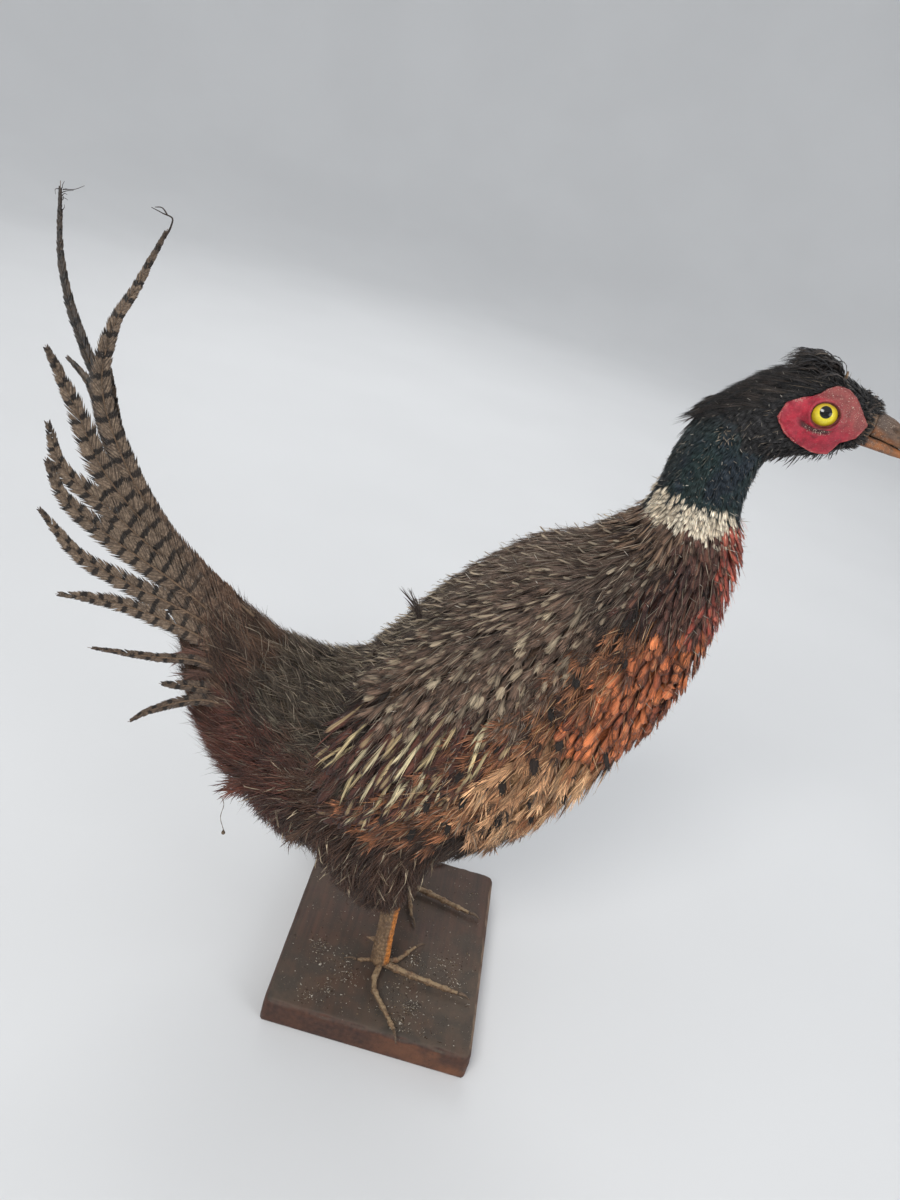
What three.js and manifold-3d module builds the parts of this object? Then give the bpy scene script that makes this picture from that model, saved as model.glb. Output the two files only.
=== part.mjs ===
// A mounted cock pheasant on a small rectangular board, life size.
// Millimetres, +Z up, +X towards the bill, +Y to the bird's left.
// The origin is the centre of the board's underside.
import * as THREE from "three";
import { mergeVertices } from "three/addons/utils/BufferGeometryUtils.js";
import Module from "manifold-3d";

const wasm = await Module();
wasm.setup();

// ---------------------------------------------------------------- driving dimensions
const GAP = 0.35; // clearance between neighbouring pieces
const RIGHT = { label: "right", sign: -1 };
const LEFT = { label: "left", sign: 1 };
const SIDES = [RIGHT, LEFT];

const BOARD = { length: 121, width: 153, thick: 17, easing: 2.4, corner: 3 };

// Trunk and neck: centre (x, z), half depth in the side view and half width,
// from the tail coverts forward and up to the base of the skull.
const TRUNK = [
  { x: -161, z: 210, depth: 12, width: 10 },
  { x: -141, z: 192, depth: 23, width: 20 },
  { x: -120, z: 169, depth: 39, width: 33 },
  { x: -87, z: 148, depth: 56, width: 47 },
  { x: -43, z: 143, depth: 72, width: 57 },
  { x: -2, z: 170, depth: 70, width: 58 },
  { x: 25, z: 213, depth: 68, width: 57 },
  { x: 48, z: 252, depth: 60, width: 52 },
  { x: 67, z: 286, depth: 45, width: 43 },
  { x: 77, z: 316, depth: 31, width: 30 },
  { x: 77, z: 341, depth: 21.5, width: 20.7 },
  { x: 78, z: 361, depth: 20.8, width: 19 },
  { x: 82, z: 376, depth: 18.5, width: 15.5 },
  { x: 88, z: 387, depth: 13, width: 10 },
];
const TRUNK_MESH = { steps: 30, sides: 20 };

// The skull under its short feathers, from the nape to the root of the bill.
const HEAD = [
  { x: 62, z: 379.5, depth: 6, width: 6 },
  { x: 74, z: 380, depth: 13.4, width: 12.7 },
  { x: 88, z: 383, depth: 19.2, width: 16.5 },
  { x: 104, z: 392, depth: 21.4, width: 17.5 },
  { x: 118, z: 395, depth: 20.6, width: 17 },
  { x: 129, z: 396.3, depth: 15.6, width: 13 },
  { x: 137, z: 396.5, depth: 11.6, width: 9.2 },
  { x: 142, z: 395, depth: 9, width: 7.2 },
];
const HEAD_MESH = { steps: 13, sides: 16 };

// The cuts that part the skin: a point in the side view, and how far the cut leans forward.
const CUTS = {
  rump: { x: -102, z: 156, lean: 2.14 },
  collarLow: { x: 76, z: 329, lean: 0.2 },
  collarHigh: { x: 76, z: 342, lean: 0.16 },
  skull: { x: 78, z: 368, lean: -0.22 },
};

const BILL = { root: 141.4, tip: 168, tipZ: 385.4, culmen: 403.2, gape: 391.5, floor: 385.6, width: 7 };
const EYE = { x: 112, z: 397, ball: 8, sunk: 5.1, squash: 0.84 };
const FACE = {
  thick: 1.3,
  // how far the bare red skin reaches from the eye, turning from forward to up and back
  reach: [19, 14.8, 13.7, 13.2, 13.3, 11.2, 9.6, 10, 12.5, 18, 20.5, 19.3, 17.6, 17, 17.5, 19, 16.6, 18],
};
const CREST = { path: [[114, 408], [110, 414.5], [103, 417.5], [93, 416.4]], radii: [4.4, 4.6, 3.4, 0.9] };
const NAPE_TUFT = { path: [[76, 388], [67, 384], [61, 381], [55, 377.6]], radii: [5.5, 4.6, 3, 0.7] };

// The closed wing lies on the flank. Stations along the trunk (0 at the tail, 1 at the skull),
// each with the lower and upper edge of the wing as degrees round the trunk.
const WING = {
  thick: 4.6, edge: 0.9, lift: 0.9,
  edges: [
    { at: 0.609, low: 44, high: 66 },
    { at: 0.572, low: 22, high: 79 },
    { at: 0.508, low: 8, high: 80 },
    { at: 0.434, low: 1, high: 76 },
    { at: 0.369, low: -2, high: 66 },
    { at: 0.314, low: -3, high: 46 },
    { at: 0.258, low: -2, high: 20 },
    { at: 0.231, low: 2, high: 8 },
  ],
};

const LEG = {
  ankle: { x: -7, z: 76 }, foot: { x: -3, z: 23 },
  shank: { depth: 4.3, width: 3 },
  standing: { right: { y: 31, turn: 0 }, left: { y: 40, turn: -16 } },
  spur: { z: 38, length: 9 },
};
const THIGH = [
  { x: -24, z: 150, depth: 36, width: 20 },
  { x: -27, z: 118, depth: 42, width: 25 },
  { x: -21, z: 95, depth: 36, width: 22 },
  { x: -14, z: 78, depth: 23, width: 15 },
  { x: -8, z: 65, depth: 9, width: 8 },
];
// Heading in degrees away from the bird's midline, length without the claw, sideways bow.
const TOES = {
  inner: { heading: -47, reach: 29, bow: 3.5, radius: 2.1 },
  middle: { heading: 6, reach: 50, bow: 1, radius: 2.8 },
  outer: { heading: 68, reach: 46, bow: 7, radius: 2.4 },
  hind: { heading: 174, reach: 13, bow: 1, radius: 2 },
};
const CLAW = 8;

// The tail is a narrow tent: every feather lies in its own leaf, counted out from the ridge.
const TAIL = {
  ridge: [[-119, 208], [-188, 243], [-217, 302], [-227, 398]],
  firstLeaf: 1.4, pitch: 1.9, slope: 0.35, thick: 1.2,
};
const ROOT_X = -108;
// Path in the side view from root to tip, and the breadth of the vane.
const TAIL_FEATHERS = {
  central: {
    right: [[-179, 244], [-217, 305], [-217, 338], [-206, 362], [-192, 393]],
    left: [[-181, 239], [-229, 313], [-244, 339], [-252, 362], [-255, 396]],
    root: 199, breadth: 12,
  },
  second: {
    right: [[-172, 234], [-210, 268], [-229, 300], [-244, 325]],
    left: [[-176, 230], [-213, 268], [-232, 303], [-247, 313]],
    root: 194, breadth: 17,
  },
  third: {
    right: [[-166, 225], [-205, 251], [-228, 267], [-238, 289]],
    left: [[-174, 228], [-211, 277], [-221, 316]],
    root: 190, breadth: 17,
  },
  fourth: {
    right: [[-160, 217], [-200, 237], [-224, 253], [-236, 272]],
    left: [[-162, 214], [-201, 239], [-221, 266]],
    root: 186, breadth: 16,
  },
  fifth: {
    right: [[-148, 204], [-187, 216], [-212, 226], [-235, 247]],
    left: [[-148, 206], [-184, 221], [-206, 236], [-222, 258]],
    root: 184, breadth: 13,
  },
  sixth: {
    right: [[-142, 195], [-178, 204], [-203, 206], [-219, 205]],
    left: [[-142, 198], [-172, 212], [-196, 228]],
    root: 179, breadth: 12,
  },
  seventh: {
    right: [[-140, 184], [-167, 182], [-198, 181]],
    left: [[-140, 188], [-164, 196], [-182, 208]],
    root: 173, breadth: 6,
  },
  eighth: {
    right: [[-136, 172], [-159, 170]],
    left: [[-136, 175], [-158, 182]],
    root: 169, breadth: 8,
  },
  outer: {
    right: [[-134, 167], [-158, 157], [-169, 148]],
    left: [[-134, 169], [-155, 165], [-168, 160]],
    root: 164, breadth: 7,
  },
};

// ---------------------------------------------------------------- finishes
function finish(red, green, blue, roughness) {
  const color = new THREE.Color().setRGB(red, green, blue, THREE.SRGBColorSpace);
  return new THREE.MeshStandardMaterial({ color, roughness, metalness: 0 });
}
const FINISH = {
  board: finish(0.27, 0.2, 0.16, 0.6),
  trunk: finish(0.36, 0.26, 0.18, 0.85),
  rump: finish(0.27, 0.23, 0.17, 0.9),
  neck: finish(0.07, 0.12, 0.12, 0.5),
  collar: finish(0.78, 0.73, 0.62, 0.8),
  crown: finish(0.1, 0.09, 0.08, 0.7),
  face: finish(0.66, 0.1, 0.14, 0.55),
  bill: finish(0.42, 0.3, 0.2, 0.45),
  eye: finish(0.85, 0.75, 0.1, 0.1),
  wing: finish(0.31, 0.2, 0.16, 0.8),
  thigh: finish(0.28, 0.2, 0.14, 0.9),
  tail: finish(0.34, 0.27, 0.2, 0.8),
  leg: finish(0.6, 0.38, 0.2, 0.55),
  claw: finish(0.35, 0.27, 0.2, 0.4),
};

// ---------------------------------------------------------------- helpers
const { lerp, clamp, degToRad } = THREE.MathUtils;
const vec = (x, y, z) => new THREE.Vector3(x, y, z);

// A smooth body through stations. `at(t)` gives its frame, `skin(t, turn, grow)` a point on it:
// `turn` is 0 on the bird's left, a quarter turn on the back, and `grow` is measured outwards.
function bodyThrough(stations) {
  const smooth = (pick) => new THREE.CatmullRomCurve3(stations.map(pick), false, "centripetal");
  const centres = smooth((s) => vec(s.x, s.y ?? 0, s.z));
  const sizes = smooth((s) => vec(s.depth, s.width, 0));
  const side = vec(0, 1, 0);
  const at = (t) => {
    const ahead = centres.getTangent(t);
    const up = new THREE.Vector3().crossVectors(ahead, side).normalize();
    return { centre: centres.getPoint(t), up, size: sizes.getPoint(t) };
  };
  const skin = (t, turn, grow = 0) => {
    const { centre, up, size } = at(t);
    return centre
      .addScaledVector(side, (size.y + grow) * Math.cos(turn))
      .addScaledVector(up, (size.x + grow) * Math.sin(turn));
  };
  // the half width of the body at (x, z) in the side view
  const halfWidth = (x, z) => {
    const target = vec(x, 0, z);
    let best = { far: Infinity, width: 0 };
    for (let i = 0; i <= 160; i++) {
      const { centre, up, size } = at(i / 160);
      const far = centre.setY(0).distanceTo(target);
      const offset = target.clone().sub(centre).dot(up) / size.x;
      const width = size.y * Math.sqrt(Math.max(0, 1 - offset * offset));
      if (far < best.far) best = { far, width };
    }
    return best.width;
  };
  return { skin, halfWidth };
}

// A closed mesh from rings of points, with a fan over each end.
function closeRings(rings) {
  const sides = rings[0].length;
  const points = rings.flat();
  const faces = [];
  for (let i = 0; i + 1 < rings.length; i++) {
    for (let j = 0; j < sides; j++) {
      const a = i * sides + j;
      const b = i * sides + ((j + 1) % sides);
      faces.push(a, b, b + sides, a, b + sides, a + sides);
    }
  }
  const middle = (ring) => ring.reduce((sum, p) => sum.add(p), vec(0, 0, 0)).divideScalar(sides);
  const first = points.push(middle(rings[0])) - 1;
  const last = points.push(middle(rings[rings.length - 1])) - 1;
  const top = (rings.length - 1) * sides;
  for (let j = 0; j < sides; j++) {
    const next = (j + 1) % sides;
    faces.push(first, next, j, last, top + j, top + next);
  }
  return solidFrom(points, faces);
}

// A closed pad between two sheets of points, `sheets[layer][i][j]`, joined round the rim.
function closeSheets(sheets, ringed) {
  const rows = sheets[0].length;
  const across = sheets[0][0].length;
  const points = sheets.flat(2);
  const index = (layer, i, j) => (layer * rows + i) * across + (j % across);
  const faces = [];
  const quad = (a, b, c, d) => faces.push(a, b, c, a, c, d);
  const lastColumn = ringed ? across : across - 1;
  for (let i = 0; i + 1 < rows; i++) {
    for (let j = 0; j < lastColumn; j++) {
      quad(index(0, i, j), index(0, i, j + 1), index(0, i + 1, j + 1), index(0, i + 1, j));
      quad(index(1, i, j), index(1, i + 1, j), index(1, i + 1, j + 1), index(1, i, j + 1));
    }
  }
  for (let j = 0; j < lastColumn; j++) {
    quad(index(0, 0, j), index(1, 0, j), index(1, 0, j + 1), index(0, 0, j + 1));
    const end = rows - 1;
    quad(index(0, end, j), index(0, end, j + 1), index(1, end, j + 1), index(1, end, j));
  }
  if (!ringed) {
    const end = across - 1;
    for (let i = 0; i + 1 < rows; i++) {
      quad(index(0, i, 0), index(0, i + 1, 0), index(1, i + 1, 0), index(1, i, 0));
      quad(index(0, i, end), index(1, i, end), index(1, i + 1, end), index(0, i + 1, end));
    }
  }
  return solidFrom(points, faces);
}

function signedVolume(points, faces) {
  let sum = 0;
  for (let i = 0; i < faces.length; i += 3) {
    const [a, b, c] = faces.slice(i, i + 3).map((k) => points[k]);
    sum += a.dot(b.clone().cross(c));
  }
  return sum / 6;
}
function solidFrom(points, faces) {
  const geometry = new THREE.BufferGeometry().setFromPoints(points);
  geometry.setIndex(signedVolume(points, faces) < 0 ? faces.reverse() : faces);
  return solid(geometry);
}
function solid(geometry) {
  const bare = geometry.clone();
  for (const name of ["normal", "uv"]) bare.deleteAttribute(name);
  const merged = mergeVertices(bare, 1e-4);
  const mesh = new wasm.Mesh({
    numProp: 3,
    vertProperties: merged.attributes.position.array,
    triVerts: new Uint32Array(merged.index.array),
  });
  return new wasm.Manifold(mesh);
}
const largest = (made) => made.decompose().reduce((a, b) => (b.volume() > a.volume() ? b : a));

const bird = new THREE.Group();
function place(name, made, material) {
  const mesh = largest(made).getMesh();
  const positions = new Float32Array(mesh.numVert * 3);
  for (let i = 0; i < mesh.numVert; i++) {
    const from = i * mesh.numProp;
    positions.set(mesh.vertProperties.subarray(from, from + 3), 3 * i);
  }
  const geometry = new THREE.BufferGeometry();
  geometry.setAttribute("position", new THREE.BufferAttribute(positions, 3));
  geometry.setIndex(new THREE.BufferAttribute(mesh.triVerts, 1));
  geometry.computeVertexNormals();
  const piece = new THREE.Mesh(geometry, material);
  piece.name = name;
  bird.add(piece);
}

// A round body as one closed solid.
function tube(body, { steps, sides }, grow = 0) {
  const rings = [];
  for (let i = 0; i <= steps; i++) {
    const ring = [];
    for (let j = 0; j < sides; j++) ring.push(body.skin(i / steps, (2 * Math.PI * j) / sides, grow));
    rings.push(ring);
  }
  return closeRings(rings);
}

// A round limb along a curve, with a radius at each of several even steps.
function limb(path, radii, { sides, steps, flat = 1 }) {
  const curve = new THREE.CatmullRomCurve3(path.map((p) => vec(...p)));
  const rings = [];
  let side = null;
  for (let i = 0; i <= steps; i++) {
    const t = i / steps;
    const centre = curve.getPoint(t);
    const ahead = curve.getTangent(t);
    const upright = Math.abs(ahead.z) > 0.9 ? vec(0, 1, 0) : vec(0, 0, 1).cross(ahead);
    const level = side ?? upright;
    side = level.clone().addScaledVector(ahead, -level.dot(ahead)).normalize();
    const up = new THREE.Vector3().crossVectors(ahead, side);
    const place = t * (radii.length - 1);
    const k = Math.min(Math.floor(place), radii.length - 2);
    const radius = lerp(radii[k], radii[k + 1], place - k);
    const ring = [];
    for (let j = 0; j < sides; j++) {
      const turn = (2 * Math.PI * (j + 0.5)) / sides;
      ring.push(
        centre.clone()
          .addScaledVector(side, radius * Math.cos(turn))
          .addScaledVector(up, radius * flat * Math.sin(turn)),
      );
    }
    rings.push(ring);
  }
  return closeRings(rings);
}

// Everything beyond a leaning cut: `way` is +1 on its upper or forward side, -1 on the other.
function beyond({ x, z, lean }, way) {
  const size = 400;
  const box = new THREE.BoxGeometry(2 * size, 2 * size, size);
  box.translate(0, 0, way * (size / 2 + GAP / 2));
  box.rotateY(lean);
  box.translate(x, 0, z);
  return solid(box);
}

// ---------------------------------------------------------------- board
function boardOutline(inset) {
  const l = BOARD.length / 2 - inset;
  const w = BOARD.width / 2 - inset;
  const r = BOARD.corner;
  const shape = new THREE.Shape();
  shape.moveTo(-l + r, -w);
  shape.lineTo(l - r, -w);
  shape.quadraticCurveTo(l, -w, l, -w + r);
  shape.lineTo(l, w - r);
  shape.quadraticCurveTo(l, w, l - r, w);
  shape.lineTo(-l + r, w);
  shape.quadraticCurveTo(-l, w, -l, w - r);
  shape.lineTo(-l, -w + r);
  shape.quadraticCurveTo(-l, -w, -l + r, -w);
  return shape;
}
// A flat slab whose top edge is eased by a small step and chamfer.
function board() {
  const { thick, easing } = BOARD;
  const slab = new THREE.ExtrudeGeometry(boardOutline(easing), {
    depth: thick - easing, steps: 1, curveSegments: 2,
    bevelThickness: easing, bevelSize: easing, bevelSegments: 2, bevelOffset: 0,
  });
  const foot = new THREE.ExtrudeGeometry(boardOutline(0), {
    depth: thick - 2 * easing, steps: 1, curveSegments: 2, bevelEnabled: false,
  });
  const above = new THREE.BoxGeometry(300, 300, 100).translate(0, 0, 50);
  return solid(slab).intersect(solid(above)).add(solid(foot));
}

// ---------------------------------------------------------------- legs
function thigh({ label, sign }) {
  const standing = LEG.standing[label].y;
  const stations = THIGH.map((s, i) => ({ ...s, y: sign * lerp(29, standing, i / (THIGH.length - 1)) }));
  return tube(bodyThrough(stations), { steps: 9, sides: 14 });
}

function legPieces({ label, sign }) {
  const { ankle, foot, shank, spur } = LEG;
  const { y, turn } = LEG.standing[label];
  const top = BOARD.thick;
  const upper = [ankle.x, sign * y, ankle.z];
  const lower = [foot.x, sign * y, foot.z - 1];
  const middle = [lerp(ankle.x, foot.x, 0.45), sign * y, lerp(ankle.z, foot.z, 0.5)];
  const shankRadii = [shank.depth, shank.depth * 0.86, shank.depth];
  const flat = shank.width / shank.depth;
  const spurPath = [
    [foot.x - 3, sign * y, spur.z + 1],
    [foot.x - 3 - spur.length * 0.55, sign * y, spur.z - 1],
    [foot.x - 3 - spur.length, sign * y, spur.z - 0.5],
  ];
  const hub = new THREE.SphereGeometry(4.6, 8, 6).scale(1, 0.86, 0.9);
  hub.translate(foot.x, sign * y, top + 4.6);
  const leg = limb([lower, middle, upper], shankRadii, { sides: 8, steps: 4, flat: 1 / flat })
    .add(limb(spurPath, [2.2, 1.5, 0.5], { sides: 6, steps: 3 }))
    .add(solid(hub));

  const base = vec(foot.x, sign * y, 0);
  const toes = Object.entries(TOES).map(([name, toe]) => {
    const heading = degToRad(toe.heading + turn) * sign;
    const way = vec(Math.cos(heading), Math.sin(heading), 0);
    const aside = vec(-way.y, way.x, 0).multiplyScalar(sign * toe.bow);
    const at = (reach, height, sway) =>
      base.clone().addScaledVector(way, reach).addScaledVector(aside, sway)
        .setZ(top + height).toArray();
    const low = toe.radius * 0.95 + GAP;
    const r = toe.reach;
    const toePath = [at(2.5, 4.4, 0), at(r * 0.36, low + 1, 1), at(r * 0.7, low + 0.4, 0.5), at(r, low, 0)];
    const clawPath = [
      at(r + 2 * GAP, low, 0),
      at(r + CLAW * 0.5, low + 0.9, 0.06),
      at(r + CLAW, 1, 0),
    ];
    const toeRadii = [toe.radius, toe.radius * 0.9, toe.radius * 0.8, toe.radius * 0.64];
    const clawRadii = [toe.radius * 0.56, toe.radius * 0.4, 0.4];
    return {
      name,
      toe: limb(toePath, toeRadii, { sides: 6, steps: 5, flat: 0.92 }),
      claw: limb(clawPath, clawRadii, { sides: 5, steps: 3 }),
    };
  });
  return { leg, toes };
}

// ---------------------------------------------------------------- wings
function wing(body, { sign }) {
  const across = 6;
  const steps = 13;
  const { edges, thick, edge, lift } = WING;
  const lows = new THREE.CatmullRomCurve3(edges.map((e) => vec(e.at, e.low, e.high)));
  const sheets = [[], []];
  for (let i = 0; i <= steps; i++) {
    const share = i / steps;
    const { x: at, y: low, z: high } = lows.getPoint(share);
    const rows = [[], []];
    for (let j = 0; j <= across; j++) {
      const v = j / across;
      const turn = degToRad(lerp(low, high, v));
      const swell = Math.sqrt(Math.sin(Math.PI * v)) * Math.sin(Math.PI * share) ** 0.4;
      for (const layer of [0, 1]) {
        const grow = lift + layer * (edge + (thick - edge) * swell);
        rows[layer].push(body.skin(at, sign > 0 ? turn : Math.PI - turn, grow));
      }
    }
    sheets[0].push(rows[0]);
    sheets[1].push(rows[1]);
  }
  return closeSheets(sheets, false);
}

// ---------------------------------------------------------------- tail
const ridge = new THREE.CubicBezierCurve(...TAIL.ridge.map((p) => new THREE.Vector2(...p)));
const ridgePoints = ridge.getPoints(40);
const belowRidge = (p) => Math.min(...ridgePoints.map((q) => q.distanceTo(p)));

// One vane: six-sided across, broad in the middle of its length and pointed at the tip.
function tailFeather({ root, breadth }, path, leaf, sign) {
  const quill = new THREE.CatmullRomCurve3([[ROOT_X, root], ...path].map(([x, z]) => vec(x, 0, z)));
  const length = quill.getLength();
  const steps = Math.max(5, Math.round(length / 21));
  const section = [[-1, -0.32], [0, -0.5], [1, -0.32], [1, 0.32], [0, 0.5], [-1, 0.32]];
  const rings = [];
  for (let i = 0; i <= steps; i++) {
    const t = i / steps;
    const centre = quill.getPointAt(t);
    const ahead = quill.getTangentAt(t);
    const swell = Math.min(1, 0.5 + 2 * t) * (1 - clamp((t - 0.35) / 0.65, 0, 1) ** 1.7 * 0.88);
    const ring = section.map(([u, v]) => {
      const shift = (u * swell * breadth) / 2;
      const p = new THREE.Vector2(centre.x - ahead.z * shift, centre.z + ahead.x * shift);
      const away = TAIL.firstLeaf + leaf * TAIL.pitch + TAIL.slope * belowRidge(p) + v * TAIL.thick;
      return vec(p.x, sign * away, p.y);
    });
    rings.push(ring);
  }
  return closeRings(rings);
}

// ---------------------------------------------------------------- head
// Half of the bill: the upper half is hooked over the lower one.
function billHalf(upper) {
  const { root, tip, tipZ, culmen, gape, floor, width } = BILL;
  const steps = 8;
  const reach = upper ? tip : lerp(root, tip, 0.84);
  const meeting = (x) => lerp(gape, tipZ + 1.5, clamp((x - root) / (tip - root), 0, 1));
  const rings = [];
  for (let i = 0; i <= steps; i++) {
    const t = i / steps;
    const x = lerp(root, reach, t);
    const high = upper ? lerp(culmen, tipZ + 1.2, t) + 2.6 * Math.sin(Math.PI * t) : meeting(x) - GAP;
    const hook = Math.max(0, t - 0.84) * 14;
    const low = upper ? meeting(x) - hook : lerp(floor, tipZ - 0.8, t);
    const half = width * (upper ? 1 : 0.86) * Math.max(0.1, 1 - t ** 1.6);
    const ring = [];
    for (let j = 0; j < 10; j++) {
      const turn = (2 * Math.PI * (j + 0.5)) / 10;
      const rise = clamp(0.5 + 0.6 * Math.sin(turn), 0, 1);
      ring.push(vec(x, half * Math.cos(turn), lerp(low, Math.max(high, low + 0.8), rise)));
    }
    rings.push(ring);
  }
  return closeRings(rings);
}

// A glass eye: a shallow ball let into the face.
function eyeBall(skull, sign, grow = 0) {
  const ball = new THREE.SphereGeometry(EYE.ball + grow, 14, 8);
  ball.scale(1, 1, EYE.squash);
  ball.translate(EYE.x, sign * (skull.halfWidth(EYE.x, EYE.z) - EYE.sunk), EYE.z);
  return solid(ball);
}

// The bare red skin: a ring of pad round the eye, laid on the skull.
function facePad(skull, sign) {
  const { thick, reach } = FACE;
  const rows = 2;
  const spokes = reach.length;
  const rim = Math.sqrt(EYE.ball ** 2 - EYE.sunk ** 2);
  const sheets = [0, 1].map((layer) => {
    const sheet = [];
    for (let i = 0; i <= rows; i++) {
      const row = [];
      for (let j = 0; j < spokes; j++) {
        const turn = (2 * Math.PI * j) / spokes;
        const inner = rim + GAP + 0.2;
        const far = lerp(inner, reach[j], i / rows);
        const x = EYE.x + far * Math.cos(turn);
        const z = EYE.z + far * Math.sin(turn) * (i === 0 ? EYE.squash : 1);
        const lift = layer * (i === rows ? thick * 0.55 : thick);
        row.push(vec(x, sign * (skull.halfWidth(x, z) + GAP + lift), z));
      }
      sheet.push(row);
    }
    return sheet;
  });
  return closeSheets(sheets, true).subtract(eyeBall(skull, sign, GAP));
}

const tuft = ({ path, radii }) =>
  limb(path.map(([x, z]) => [x, 0, z]), radii, { sides: 8, steps: 6, flat: 0.8 });

// ---------------------------------------------------------------- assembly
const trunkBody = bodyThrough(TRUNK);
const skull = bodyThrough(HEAD);
const trunkTube = tube(trunkBody, TRUNK_MESH);
const aroundTrunk = tube(trunkBody, TRUNK_MESH, GAP);
const aroundHead = tube(skull, HEAD_MESH, GAP);
const whole = trunkTube.add(tube(skull, HEAD_MESH));
const between = (low, high) => whole.intersect(beyond(low, 1)).intersect(beyond(high, -1));

place("board", board(), FINISH.board);
place("rump", whole.intersect(beyond(CUTS.rump, -1)), FINISH.rump);
place("trunk", between(CUTS.rump, CUTS.collarLow), FINISH.trunk);
place("collar", between(CUTS.collarLow, CUTS.collarHigh), FINISH.collar);
place("neck", between(CUTS.collarHigh, CUTS.skull), FINISH.neck);

let headSolid = whole.intersect(beyond(CUTS.skull, 1));
for (const { sign } of SIDES) headSolid = headSolid.subtract(eyeBall(skull, sign, GAP));
const beforeBill = new THREE.BoxGeometry(160, 80, 160).translate(BILL.root - GAP - 80, 0, 395);
place("head", headSolid.intersect(solid(beforeBill)), FINISH.crown);
place("crest", tuft(CREST).subtract(aroundHead), FINISH.crown);
place("nape_tuft", tuft(NAPE_TUFT).subtract(aroundHead).subtract(aroundTrunk), FINISH.crown);
place("bill_upper", billHalf(true), FINISH.bill);
place("bill_lower", billHalf(false), FINISH.bill);

for (const side of SIDES) {
  const { label, sign } = side;
  place(`eye_${label}`, eyeBall(skull, sign), FINISH.eye);
  place(`face_${label}`, facePad(skull, sign), FINISH.face);
  place(`wing_${label}`, wing(trunkBody, side), FINISH.wing);

  const upperLeg = thigh(side);
  place(`thigh_${label}`, upperLeg.subtract(aroundTrunk), FINISH.thigh);
  const { leg, toes } = legPieces(side);
  place(`leg_${label}`, leg.subtract(thigh(side)), FINISH.leg);
  let taken = leg;
  for (const { name, toe, claw } of toes) {
    place(`toe_${name}_${label}`, toe.subtract(taken), FINISH.leg);
    taken = taken.add(toe);
    place(`claw_${name}_${label}`, claw, FINISH.claw);
  }

  Object.entries(TAIL_FEATHERS).forEach(([name, feather], leaf) => {
    const vane = tailFeather(feather, feather[label], leaf, sign);
    place(`tail_${name}_${label}`, vane.subtract(aroundTrunk), FINISH.tail);
  });
}

export default bird;
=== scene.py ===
"""A mounted cock pheasant on its board: the finish of every surface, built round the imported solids."""

import itertools
import math

import bpy
import numpy as np
from mathutils import Matrix, Vector, noise
from mathutils.bvhtree import BVHTree


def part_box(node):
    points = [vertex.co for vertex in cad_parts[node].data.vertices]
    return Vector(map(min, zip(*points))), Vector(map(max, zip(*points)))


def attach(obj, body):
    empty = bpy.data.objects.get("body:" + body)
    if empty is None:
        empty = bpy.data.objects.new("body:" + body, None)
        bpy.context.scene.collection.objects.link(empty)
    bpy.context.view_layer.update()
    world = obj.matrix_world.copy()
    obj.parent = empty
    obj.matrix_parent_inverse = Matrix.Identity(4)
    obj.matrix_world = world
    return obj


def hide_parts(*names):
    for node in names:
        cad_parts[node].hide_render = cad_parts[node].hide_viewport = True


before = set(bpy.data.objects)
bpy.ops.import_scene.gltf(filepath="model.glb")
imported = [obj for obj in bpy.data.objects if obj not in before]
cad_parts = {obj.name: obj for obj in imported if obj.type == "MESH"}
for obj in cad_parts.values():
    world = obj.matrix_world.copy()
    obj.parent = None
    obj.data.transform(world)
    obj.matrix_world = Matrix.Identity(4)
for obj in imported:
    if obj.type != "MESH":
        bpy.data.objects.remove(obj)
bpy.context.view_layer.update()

MM = 0.001
RIGHT, LEFT = -1, 1
SIDES = {"right": RIGHT, "left": LEFT}
chance = np.random.default_rng(20407)
COAT_TRIES, LOOSE_TRIES = 150000, 60000  # places drawn on the skin before they are thinned out


# ---------------------------------------------------------------- stage, lights and camera
def select_only(*pieces):
    if bpy.context.object and bpy.context.object.mode != "OBJECT":
        bpy.ops.object.mode_set(mode="OBJECT")
    bpy.ops.object.select_all(action="DESELECT")
    for piece in pieces:
        piece.select_set(True)
    bpy.context.view_layer.objects.active = pieces[0] if pieces else None


FLOOR_REACH, WALL_BEND, WALL_TOP = 2.4, 1.3, 3.2


def build_stage():
    """A round pale floor whose rim curves up into a wall."""
    select_only()
    bpy.ops.mesh.primitive_circle_add(vertices=160, radius=FLOOR_REACH, fill_type="NGON")
    floor = bpy.context.object
    floor.name = "floor"
    bpy.ops.object.mode_set(mode="EDIT")
    bpy.ops.mesh.select_mode(type="FACE")
    bpy.ops.mesh.select_all(action="SELECT")
    bpy.ops.mesh.inset(thickness=0.02)
    bpy.ops.object.mode_set(mode="OBJECT")
    select_rim(floor, FLOOR_REACH - 0.001)
    reach, height = FLOOR_REACH, 0.0
    turns = [math.radians(9 * (i + 1)) for i in range(10)]
    goals = [(FLOOR_REACH + WALL_BEND * math.sin(t), WALL_BEND * (1 - math.cos(t))) for t in turns]
    bpy.ops.object.mode_set(mode="EDIT")
    bpy.ops.mesh.select_mode(type="EDGE")
    for wide, tall in [*goals, (goals[-1][0], WALL_TOP)]:
        bpy.ops.mesh.extrude_edges_move()
        bpy.ops.transform.resize(value=(wide / reach, wide / reach, 1))
        bpy.ops.transform.translate(value=(0, 0, tall - height))
        reach, height = wide, tall
    bpy.ops.object.mode_set(mode="OBJECT")
    bpy.ops.object.shade_smooth()
    paint = Finish("pale_backdrop", Roughness=0.9, Specular_IOR_Level=0.1)
    grain = paint.noise(paint.place(), 3, 2.0)
    paint.give(Base_Color=paint.shade(colour(214, 215, 216), grain.ramp(0.3, 0.7, 0.985, 1.015)))
    floor.data.materials.append(paint.material)


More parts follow.
